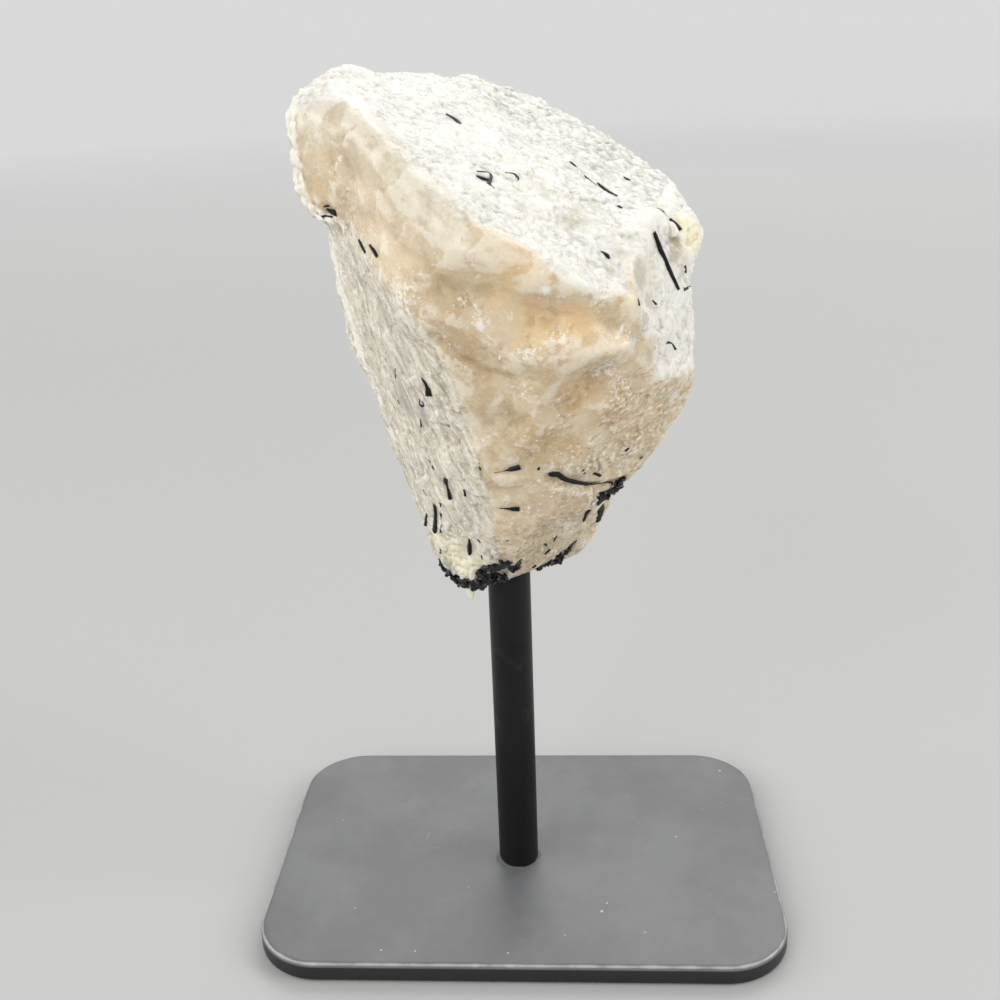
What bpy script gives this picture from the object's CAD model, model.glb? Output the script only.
import math

import bmesh
import bpy
import numpy as np
from mathutils import Matrix, Vector, noise
from mathutils.bvhtree import BVHTree


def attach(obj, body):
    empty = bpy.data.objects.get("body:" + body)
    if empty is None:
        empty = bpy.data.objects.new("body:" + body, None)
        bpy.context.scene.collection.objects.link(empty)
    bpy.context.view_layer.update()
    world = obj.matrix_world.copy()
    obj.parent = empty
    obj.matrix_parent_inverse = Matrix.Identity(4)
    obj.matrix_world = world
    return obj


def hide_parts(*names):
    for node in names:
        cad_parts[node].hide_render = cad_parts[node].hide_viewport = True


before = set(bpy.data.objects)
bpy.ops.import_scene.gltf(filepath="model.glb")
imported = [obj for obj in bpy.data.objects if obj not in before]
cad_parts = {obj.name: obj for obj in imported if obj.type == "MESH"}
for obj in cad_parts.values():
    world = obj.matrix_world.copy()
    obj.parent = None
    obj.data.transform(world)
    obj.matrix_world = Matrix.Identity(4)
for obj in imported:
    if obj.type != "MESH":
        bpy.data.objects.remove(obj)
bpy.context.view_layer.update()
scene = bpy.context.scene
mm = 0.001  # every length in the dictionaries is in millimetres
print("frame loaded:", len(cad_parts), "nodes")


# sockets and node trees

def pickSocket(sockets, name):
    if isinstance(name, int):
        return sockets[name]
    for socket in sockets:
        if socket.enabled and socket.name == name:
            return socket
    raise KeyError(name)


class Wire:
    # an output socket that takes part in Python expressions; sums become Math nodes
    def __init__(self, desk, socket):
        self.desk = desk
        self.socket = socket

    def __getitem__(self, name):
        return Wire(self.desk, pickSocket(self.socket.node.outputs, name))

    def maths(self, operation, first, second):
        return self.desk.add("ShaderNodeMath", {"operation": operation}, {0: first, 1: second})

    def __add__(self, other):
        return self.maths("ADD", self, other)

    def __radd__(self, other):
        return self.maths("ADD", other, self)

    def __sub__(self, other):
        return self.maths("SUBTRACT", self, other)

    def __rsub__(self, other):
        return self.maths("SUBTRACT", other, self)

    def __mul__(self, other):
        return self.maths("MULTIPLY", self, other)

    def __rmul__(self, other):
        return self.maths("MULTIPLY", other, self)

    def __truediv__(self, other):
        return self.maths("DIVIDE", self, other)

    def __rtruediv__(self, other):
        return self.maths("DIVIDE", other, self)


class Desk:
    # adds nodes to one tree
    def __init__(self, tree):
        self.tree = tree

    def add(self, kind, settings=None, values=None):
        node = self.tree.nodes.new(kind)
        for name, value in (settings or {}).items():
            setattr(node, name, value)
        for name, value in (values or {}).items():
            socket = pickSocket(node.inputs, name)
            if isinstance(value, Wire):
                self.tree.links.new(value.socket, socket)
            elif socket.type == "RGBA" and len(value) == 3:
                socket.default_value = (*value, 1.0)
            else:
                socket.default_value = value
        shown = [socket for socket in node.outputs if socket.enabled]
        return Wire(self, shown[0]) if shown else node


def vectorStep(desk, operation, first, second=None, scale=None):
    values = {0: first}
    if second is not None:
        values[1] = second
    if scale is not None:
        values["Scale"] = scale
    return desk.add("ShaderNodeVectorMath", {"operation": operation}, values)


def soften(desk, value, start, end):
    return desk.add("ShaderNodeMapRange", {"interpolation_type": "SMOOTHSTEP"},
                    {"Value": value, "From Min": start, "From Max": end})


def blend(desk, amount, first, second, how="MIX"):
    return desk.add("ShaderNodeMix", {"data_type": "RGBA", "blend_type": how},
                    {"Factor": amount, "A": first, "B": second})


def cloud(desk, place, size, detail=3.0, rough=0.55):
    # soft noise from 0 to 1 whose blotches are about size millimetres wide
    return desk.add("ShaderNodeTexNoise", {}, {
        "Vector": place, "Scale": 1.0 / (size * mm), "Detail": detail, "Roughness": rough})


def cells(desk, place, size, feature="F1"):
    return desk.add("ShaderNodeTexVoronoi", {"feature": feature},
                    {"Vector": place, "Scale": 1.0 / (size * mm)})


def stretched(desk, place, direction, stretch):
    # makes what is drawn on place longer along direction
    along = vectorStep(desk, "DOT_PRODUCT", place, direction) * (1.0 / stretch - 1.0)
    return vectorStep(desk, "ADD", place, vectorStep(desk, "SCALE", direction, scale=along))


def warped(desk, place, size, reach):
    push = desk.add("ShaderNodeTexNoise", {}, {"Vector": place, "Scale": 1.0 / (size * mm),
                                               "Detail": 2.0})["Color"]
    push = vectorStep(desk, "SUBTRACT", push, (0.5, 0.5, 0.5))
    return vectorStep(desk, "ADD", place, vectorStep(desk, "SCALE", push, scale=2 * reach * mm))


def flakeHeight(desk, place, size):
    # every cell is a small tilted break face, from about -0.5 to 0.5
    cell = cells(desk, place, size)
    lean = vectorStep(desk, "SUBTRACT", cell["Color"], (0.5, 0.5, 0.5))
    away = vectorStep(desk, "SUBTRACT", place, cell["Position"])
    return vectorStep(desk, "DOT_PRODUCT", lean, away) * (2.0 / (size * mm))


# meshes

def addPiece(name, mesh, material, slot, *nodes, smooth=True):
    mesh.name = name
    piece = bpy.data.objects.new(name, mesh)
    scene.collection.objects.link(piece)
    mesh.materials.clear()
    mesh.materials.append(material)
    if smooth:
        mesh.shade_smooth()
    else:
        mesh.shade_flat()
    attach(piece, "root")
    if nodes:
        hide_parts(*nodes)
    return piece


def meshOf(points, faces, edges=()):
    mesh = bpy.data.meshes.new("draft")
    mesh.from_pydata([tuple(point) for point in points], list(edges), [tuple(face) for face in faces])
    mesh.update()
    return mesh


def bandFaces(rings, count, first=0):
    # quads between neighbouring rings of count points each
    faces = []
    for level in range(rings - 1):
        for step in range(count):
            a = first + level * count + step
            b = first + level * count + (step + 1) % count
            faces.append((a, b, b + count, a + count))
    return faces


def tubeFaces(rings, count):
    # a closed tube: the bands and a lid at each end
    bottom = tuple(range(count - 1, -1, -1))
    top = tuple(range((rings - 1) * count, rings * count))
    return bandFaces(rings, count) + [bottom, top]


def mergedCopy(node):
    work = bmesh.new()
    work.from_mesh(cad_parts[node].data)
    bmesh.ops.remove_doubles(work, verts=work.verts, dist=0.001 * mm)
    mesh = bpy.data.meshes.new("draft")
    work.to_mesh(mesh)
    work.free()
    for name in [layer.name for layer in mesh.uv_layers]:
        mesh.uv_layers.remove(mesh.uv_layers[name])
    return mesh


def bakedMesh(mesh, addModifier):
    # runs one modifier over the mesh and gives back a plain mesh
    carrier = bpy.data.objects.new("carrier", mesh)
    scene.collection.objects.link(carrier)
    addModifier(carrier)
    graph = bpy.context.evaluated_depsgraph_get()
    result = bpy.data.meshes.new_from_object(carrier.evaluated_get(graph), depsgraph=graph)
    carrier.modifiers.clear()
    bpy.data.objects.remove(carrier)
    bpy.data.meshes.remove(mesh)
    return result


def orderedMesh(mesh):
    # a remesh may hand out its corners in any order, so they are sorted by place
    points = pointsOf(mesh)
    order = np.lexsort(points.T)
    rank = np.empty(len(order), dtype=np.int64)
    rank[order] = np.arange(len(order))
    corners = np.empty(len(mesh.loops), dtype=np.int32)
    mesh.loops.foreach_get("vertex_index", corners)
    quads = rank[corners].reshape(-1, 4)
    shift = quads.argmin(axis=1)[:, None]
    quads = np.take_along_axis(quads, (np.arange(4) + shift) % 4, axis=1)
    quads = quads[np.lexsort(quads.T[::-1])]
    bpy.data.meshes.remove(mesh)
    ordered = meshOf(points[order].tolist(), quads.tolist())
    ordered.shade_smooth()
    return ordered


def remeshed(mesh, voxel):
    def addRemesh(carrier):
        modifier = carrier.modifiers.new("voxels", "REMESH")
        modifier.mode = "VOXEL"
        modifier.voxel_size = voxel * mm
    return orderedMesh(bakedMesh(mesh, addRemesh))


def grown(mesh, tree, sizes):
    def addTree(carrier):
        modifier = carrier.modifiers.new("nodes", "NODES")
        modifier.node_group = tree
        for item in tree.interface.items_tree:
            if item.item_type == "SOCKET" and item.in_out == "INPUT" and item.name in sizes:
                modifier[item.identifier] = sizes[item.name]
    return bakedMesh(mesh, addTree)


def newTree(name, sizes):
    # a Geometry Nodes tree with a Mesh input, a named input for each size, and one Mesh output
    tree = bpy.data.node_groups.new(name, "GeometryNodeTree")
    tree.interface.new_socket("Mesh", in_out="INPUT", socket_type="NodeSocketGeometry")
    for size, value in sizes.items():
        kind = "NodeSocketInt" if isinstance(value, int) else "NodeSocketFloat"
        tree.interface.new_socket(size, in_out="INPUT", socket_type=kind).default_value = value
    tree.interface.new_socket("Mesh", in_out="OUTPUT", socket_type="NodeSocketGeometry")
    desk = Desk(tree)
    return tree, desk, desk.add("NodeGroupInput")


def endTree(desk, mesh, material):
    solid = desk.add("GeometryNodeRealizeInstances", {}, {"Geometry": mesh})
    painted = desk.add("GeometryNodeSetMaterial", {}, {"Geometry": solid, "Material": material})
    desk.add("NodeGroupOutput", {}, {"Mesh": painted})


def pointsOf(mesh):
    points = np.empty(len(mesh.vertices) * 3, dtype=np.float32)
    mesh.vertices.foreach_get("co", points)
    return points.reshape(-1, 3).astype(float)


def normalsOf(mesh):
    normals = np.empty(len(mesh.vertices) * 3, dtype=np.float32)
    mesh.vertex_normals.foreach_get("vector", normals)
    return normals.reshape(-1, 3).astype(float)


def movePoints(mesh, points):
    mesh.vertices.foreach_set("co", points.astype(np.float32).ravel())
    mesh.update()


def averaged(mesh, values, rounds):
    # every vertex takes the mean of its neighbours, rounds times over
    edges = np.empty(len(mesh.edges) * 2, dtype=np.int32)
    mesh.edges.foreach_get("vertices", edges)
    starts, ends = edges[0::2], edges[1::2]
    count = len(mesh.vertices)
    links = np.bincount(starts, minlength=count) + np.bincount(ends, minlength=count)
    values = values.reshape(count, -1).copy()
    for _ in range(rounds):
        for axis in range(values.shape[1]):
            column = values[:, axis]
            total = np.bincount(starts, column[ends], count) + np.bincount(ends, column[starts], count)
            values[:, axis] = 0.5 * column + 0.5 * total / np.maximum(links, 1)
    return values


def ramp(values, start, end):
    amount = np.clip((values - start) / (end - start), 0.0, 1.0)
    return amount * amount * (3.0 - 2.0 * amount)


def storeWeights(mesh, weights):
    for name, values in weights.items():
        layer = mesh.attributes.get(name) or mesh.attributes.new(name, "FLOAT", "POINT")
        layer.data.foreach_set("value", values.astype(np.float32))


def readWeight(desk, name):
    if desk.tree.type == "SHADER":
        return desk.add("ShaderNodeAttribute", {"attribute_name": name})["Fac"]
    return desk.add("GeometryNodeInputNamedAttribute", {"data_type": "FLOAT"}, {"Name": name})["Attribute"]


# materials

def newMaterial(name, constants):
    material = bpy.data.materials.new(name)
    material.use_nodes = True
    material.node_tree.nodes.clear()
    desk = Desk(material.node_tree)
    shader = desk.add("ShaderNodeBsdfPrincipled", {}, constants)
    desk.add("ShaderNodeOutputMaterial", {}, {"Surface": shader})
    place = desk.add("ShaderNodeTexCoord")["Object"]
    return material, desk, shader, place


def feed(desk, shader, name, value):
    desk.tree.links.new(value.socket, pickSocket(shader.socket.node.inputs, name))


def bump(desk, height, depth, strength):
    return desk.add("ShaderNodeBump", {}, {"Height": height, "Distance": depth * mm, "Strength": strength})


stoneLook = {
    "milk": (0.77, 0.64, 0.45),        # body colour of the front, pale and deep
    "deepMilk": (0.60, 0.46, 0.28),
    "paleMilk": (0.62, 0.555, 0.42),
    "snow": (0.87, 0.85, 0.78),        # broken grains of the top and right faces
    "snowShade": (0.55, 0.55, 0.53),
    "bisque": (0.53, 0.47, 0.35),      # tan clouds in the white faces
    "bone": (0.74, 0.69, 0.57),        # left face
    "boneShade": (0.52, 0.48, 0.40),
    "smoke": (0.52, 0.33, 0.15),       # brown clouds
    "honey": (0.84, 0.60, 0.31),
    "cream": (0.92, 0.86, 0.62),       # tip and horn
    "ash": (0.26, 0.26, 0.25),         # grey stain beside the black crystals
    "fleck": (0.96, 0.93, 0.84),
    "dip": (0.66, 0.62, 0.56),
    "roughness": (0.13, 0.50),
    "glow": 0.40,                      # share of light scattered under the skin
    "glowReach": (2.4, 1.8, 1.2),
}


def most(desk, *values):
    top = values[0]
    for value in values[1:]:
        top = desk.add("ShaderNodeMath", {"operation": "MAXIMUM"}, {0: top, 1: value})
    return top


def makeStoneMaterial(look):
    reach = tuple(value * mm for value in look["glowReach"])
    material, desk, shader, place = newMaterial("milkyQuartz", {
        "IOR": 1.54, "Subsurface Weight": look["glow"], "Subsurface Radius": reach,
        "Subsurface Scale": 1.0})
    weight = {name: readWeight(desk, name) for name in (
        "leftFace", "rightFace", "lowRight", "farEdge", "snow", "browFade", "smoke", "honey",
        "bisque", "cream", "ash", "pale", "chips", "whiteLine", "fineCrest", "rugged", "calm")}
    left, low, chips = weight["leftFace"], weight["lowRight"], weight["chips"]
    loose = warped(desk, place, 2.6, 0.7)
    wide = cloud(desk, loose, 7.0, 3.0)
    lively = 1.0 - 0.9 * most(desk, weight["browFade"], weight["calm"])
    middle = (cloud(desk, loose, 2.2, 4.0, 0.62) - 0.5) * lively
    fine = cloud(desk, place, 0.55, 3.0, 0.62) - 0.5
    leftPlace = stretched(desk, loose, stoneShape["leftGrain"], 7.0)
    lowPlace = stretched(desk, loose, stoneShape["lowGrain"], 3.5)
    farPlace = stretched(desk, loose, stoneShape["farGrain"], 9.0)
    topPlace = stretched(desk, loose, stoneShape["farGrain"], 1.8)
    leftThread = cloud(desk, leftPlace, 0.62, 4.0, 0.68)
    lowThread = cloud(desk, lowPlace, 0.55, 4.0, 0.68)
    farThread = cloud(desk, farPlace, 0.7, 3.0, 0.6)

    def tint(skin, amount, name, how="MIX"):
        return blend(desk, amount, skin, look[name], how)

    # body colours of the faces, each drifting between a pale and a deep tone
    front = blend(desk, soften(desk, wide + middle * 0.6, 0.30, 0.70), look["deepMilk"], look["milk"])
    smoky = soften(desk, weight["smoke"] + (wide - 0.5) * 0.7 + middle * 0.8, 0.05, 1.15)
    front = tint(front, smoky, "smoke")
    front = tint(front, soften(desk, weight["honey"] + middle * 0.9, 0.10, 1.05) * 0.8, "honey")
    bone = soften(desk, leftThread + middle * 0.3, 0.36, 0.56)
    bone = blend(desk, bone, look["boneShade"], look["bone"])
    skin = blend(desk, soften(desk, left + middle * 0.9 + fine * 0.4, 0.0, 1.0), front, bone)
    drips = cloud(desk, stretched(desk, loose, stoneShape["dripGrain"], 3.0), 0.9, 3.0, 0.6) - 0.5
    skin = tint(skin, soften(desk, weight["browFade"] + middle * 0.3 + drips * 0.4, 0.0, 1.0), "paleMilk")
    strokes = cells(desk, warped(desk, topPlace, 0.8, 0.30), 1.25, "DISTANCE_TO_EDGE")
    strokes = 1.0 - soften(desk, strokes, 0.03, 0.20)
    strokes = strokes * soften(desk, cloud(desk, place, 1.0, 3.0, 0.6), 0.42, 0.56)
    net = soften(desk, cloud(desk, topPlace, 0.66, 4.0, 0.7) + (wide - 0.5) * 0.4, 0.53, 0.64)
    patch = soften(desk, cloud(desk, loose, 6.5, 2.0), 0.40, 0.62)
    net = most(desk, strokes, net * 0.7) * (0.35 + 0.65 * patch)
    net = net * (1.0 - 0.6 * weight["farEdge"]) * (1.0 - 0.7 * weight["rightFace"])
    streaks = soften(desk, farThread, 0.46, 0.58) * weight["farEdge"]
    snow = blend(desk, most(desk, net * 0.85, streaks * 0.9), look["snow"], look["snowShade"])
    snowy = soften(desk, weight["snow"] + middle * 0.3 + fine * 0.6 + drips * 0.9, 0.0, 1.0)
    skin = blend(desk, snowy, skin, snow)
    skin = tint(skin, soften(desk, weight["bisque"] + middle, 0.15, 1.1) * 0.8, "bisque")
    skin = tint(skin, soften(desk, weight["cream"] + middle * 1.1, 0.15, 0.95), "cream")
    skin = tint(skin, soften(desk, weight["pale"] + middle * 0.9 + fine * 0.5, 0.2, 1.0), "snow")

    # broken planes: each flake is a little lighter or darker, some have a bright edge
    flake = desk.add("ShaderNodeSeparateColor", {}, {"Color": cells(desk, loose, 1.5)["Color"]})
    skin = blend(desk, 0.07, skin, flake["Red"], "OVERLAY")
    border = cells(desk, loose, 1.5, "DISTANCE_TO_EDGE")
    edge = (1.0 - soften(desk, border, 0.0, 0.05)) * soften(desk, middle + fine, 0.0, 0.16)

    # white grains, threads and ridge lines
    grain = cloud(desk, place, 0.50, 4.0, 0.72)
    zone = soften(desk, cloud(desk, place, 4.0, 2.0), 0.45, 0.75) * 0.45 + chips + 0.30 * low + 0.30 * left
    grains = soften(desk, grain + zone * 0.13, 0.645, 0.70)
    leftWhite = soften(desk, leftThread + fine * 0.30, 0.55, 0.63) * left
    lowWhite = soften(desk, lowThread + fine * 0.2, 0.56, 0.66) * low
    line = soften(desk, weight["whiteLine"] + fine * 1.2 + middle * 0.6, 0.35, 0.85)
    white = most(desk, leftWhite * 0.8, lowWhite * 0.7, grains * 0.8, edge * (0.15 + chips * 0.5), line * 0.8)
    skin = tint(skin, white, "fleck")
    skin = tint(skin, soften(desk, weight["fineCrest"] + fine, 0.4, 1.5) * 0.4, "fleck")
    dark = most(desk, soften(desk, fine * 0.8 - weight["fineCrest"], 0.4, 1.5) * 0.5,
                (1.0 - soften(desk, leftThread, 0.30, 0.40)) * left * 0.55,
                (1.0 - soften(desk, lowThread, 0.30, 0.42)) * low * 0.45)
    skin = tint(skin, dark, "dip", "MULTIPLY")
    skin = tint(skin, soften(desk, weight["ash"] + middle * 0.8 + fine * 0.5, 0.2, 1.0) * 0.7, "ash")
    feed(desk, shader, "Base Color", skin)
    smooth, rough = look["roughness"]
    feed(desk, shader, "Roughness", smooth + (rough - smooth) * soften(desk, middle + fine + 0.5, 0.3, 0.7))
    rugged = weight["rugged"]
    height = (flakeHeight(desk, loose, 0.8) * 0.6 + fine * 0.6) * rugged
    height = height + cloud(desk, place, 0.24, 3.0, 0.65) * (0.15 + 0.35 * rugged)
    height = height + leftThread * left * 1.5 + lowThread * low * 1.2 + farThread * weight["farEdge"]
    feed(desk, shader, "Normal", bump(desk, height, 0.20, 0.7))
    return material


tourmalineLook = {
    "black": (0.003, 0.003, 0.004),
    "worn": (0.030, 0.030, 0.033),
    # specular level and least roughness
    "crystals": (0.30, 0.25),
    "crusts": (0.55, 0.05),
}


def makeTourmalineMaterial(name, shine, roughness):
    material, desk, shader, place = newMaterial(name, {"IOR": 1.5, "Specular IOR Level": shine})
    tone = cloud(desk, place, 0.9, 3.0)
    skin = blend(desk, soften(desk, tone, 0.48, 0.78), tourmalineLook["black"], tourmalineLook["worn"])
    feed(desk, shader, "Base Color", skin)
    feed(desk, shader, "Roughness", roughness + 0.4 * tone)
    feed(desk, shader, "Normal", bump(desk, cloud(desk, place, 0.25, 3.0), 0.06, 0.7))
    return material


plateLook = {
    "black": (0.124, 0.126, 0.130),
    "shine": 0.6,
    "roughness": 0.42,
    "side": (0.006, 0.006, 0.007),
    "worn": (0.50, 0.50, 0.50),
    "dust": (0.62, 0.60, 0.57),
    "scratchCentre": (-13.1, 2.0),
    "scratchRadius": 2.6,
    # x, y, radius of the larger dust grains
    "grains": [(11.7, -14.5, 0.32), (12.5, -12.8, 0.20), (-19.5, -22.6, 0.20), (-14.7, -22.7, 0.18),
               (-1.6, -23.0, 0.18), (33.1, 20.2, 0.24), (17.7, -18.7, 0.15), (-8.2, -9.5, 0.14),
               (-24.6, -14.2, 0.16), (24.0, 2.5, 0.16), (-30.1, 6.4, 0.14), (6.3, -19.4, 0.13)],
}


postLook = {
    "black": (0.006, 0.006, 0.007),
    "shine": 0.22,
    "roughness": 0.42,
    "dust": plateLook["dust"],
}


def makePaintMaterial(name, look, flat):
    # matt paint with dust; flat adds the plate's worn edge, scratch and dust grains
    material, desk, shader, place = newMaterial(name, {"IOR": 1.5, "Specular IOR Level": look["shine"]})
    mottle = cloud(desk, place, 14.0, 4.0, 0.6)
    grain = cloud(desk, place, 0.45, 2.0)
    black = look["black"]
    skin = blend(desk, soften(desk, mottle, 0.35, 0.7), black, tuple(1.35 * value for value in black))
    dots = cells(desk, place, 1.7)
    lucky = desk.add("ShaderNodeSeparateColor", {}, {"Color": dots["Color"]})
    dotSize = 0.02 + 0.07 * lucky["Green"]
    dust = soften(desk, dotSize - dots["Distance"], 0.0, 0.03) * soften(desk, lucky["Red"], 0.90, 0.92)
    film = soften(desk, cloud(desk, place, 6.0, 6.0, 0.7), 0.55, 0.8)
    skin = blend(desk, film * 0.05, skin, look["dust"])
    skin = blend(desk, dust * 0.6, skin, look["dust"])
    if flat:
        skin = blend(desk, readWeight(desk, "underside"), skin, look["side"])
        edge = readWeight(desk, "rim")
        worn = soften(desk, edge + (cloud(desk, place, 2.5, 3.0) - 0.5) * 0.6, 0.55, 1.0)
        skin = blend(desk, worn * 0.8, skin, look["worn"])
        x, y = look["scratchCentre"]
        off = vectorStep(desk, "DISTANCE", place, (x * mm, y * mm, platePart["thickness"] * mm))
        ring = desk.add("ShaderNodeMath", {"operation": "ABSOLUTE"}, {0: off - look["scratchRadius"] * mm})
        ring = 1.0 - soften(desk, ring, 0.0, 0.22 * mm)
        ring = ring * soften(desk, cloud(desk, place, 1.6, 3.0), 0.45, 0.62)
        skin = blend(desk, ring * 0.12, skin, look["dust"])
        for x, y, radius in look["grains"]:
            off = vectorStep(desk, "DISTANCE", place, (x * mm, y * mm, platePart["thickness"] * mm))
            ragged = off + (cloud(desk, place, 0.3, 2.0) - 0.5) * (0.3 * mm)
            grainMark = 1.0 - soften(desk, ragged, 0.5 * radius * mm, radius * mm)
            skin = blend(desk, grainMark * 0.75, skin, look["dust"])
    feed(desk, shader, "Base Color", skin)
    feed(desk, shader, "Roughness", look["roughness"] + 0.14 * (mottle - 0.5) + 0.1 * (grain - 0.5))
    feed(desk, shader, "Normal", bump(desk, grain, 0.015, 0.35))
    return material


# two tones, least roughness, size of the clouds of tone, share of scattered light
splinterLook = ((0.95, 0.93, 0.86), (0.86, 0.78, 0.64), 0.25, 1.5, 0.3)
dropLook = ((0.80, 0.78, 0.66), (0.62, 0.60, 0.50), 0.2, 1.2, 0.4)
glueLook = ((0.15, 0.15, 0.15), (0.08, 0.08, 0.08), 0.3, 1.2, 0.2)


def makePlainMaterial(name, look):
    colour, other, roughness, size, glow = look
    material, desk, shader, place = newMaterial(name, {
        "IOR": 1.5, "Subsurface Weight": glow, "Subsurface Radius": (1.5 * mm, 1.2 * mm, 0.9 * mm),
        "Subsurface Scale": 1.0})
    tone = cloud(desk, place, size, 4.0, 0.6)
    feed(desk, shader, "Base Color", blend(desk, soften(desk, tone, 0.3, 0.7), colour, other))
    feed(desk, shader, "Roughness", roughness + 0.15 * tone)
    feed(desk, shader, "Normal", bump(desk, tone, 0.08, 0.5))
    return material


# the stone

stoneShape = {
    "groovesClosed": 0.8,              # how far the skin is swollen and shrunk to heal the crystal grooves
    "coarseVoxel": 0.5,
    "fineVoxel": 0.27,
    "kept": 0.54,                      # share of the faces left after thinning
    "leftGrain": (0.28, 0.03, -0.96),
    "lowGrain": (0.81, 0.37, 0.46),
    "farGrain": (0.86, 0.10, -0.50),
    "dripGrain": (0.20, -0.50, -0.84),
}

reliefSizes = {
    "Grain Size": 0.85,
    "Grain Depth": 0.12,
    "Ledge Size": 4.6,
    "Ledge Depth": 0.45,
    "Break Size": 1.9,
    "Break Depth": 0.26,
    "Chip Size": 0.80,
    "Chip Depth": 0.13,
    "Fibre Width": 0.70,
    "Fibre Depth": 0.20,
    "Swell Depth": 0.14,
    "Tooth Size": 1.25,
    "Tooth Depth": 0.62,
}

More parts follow.
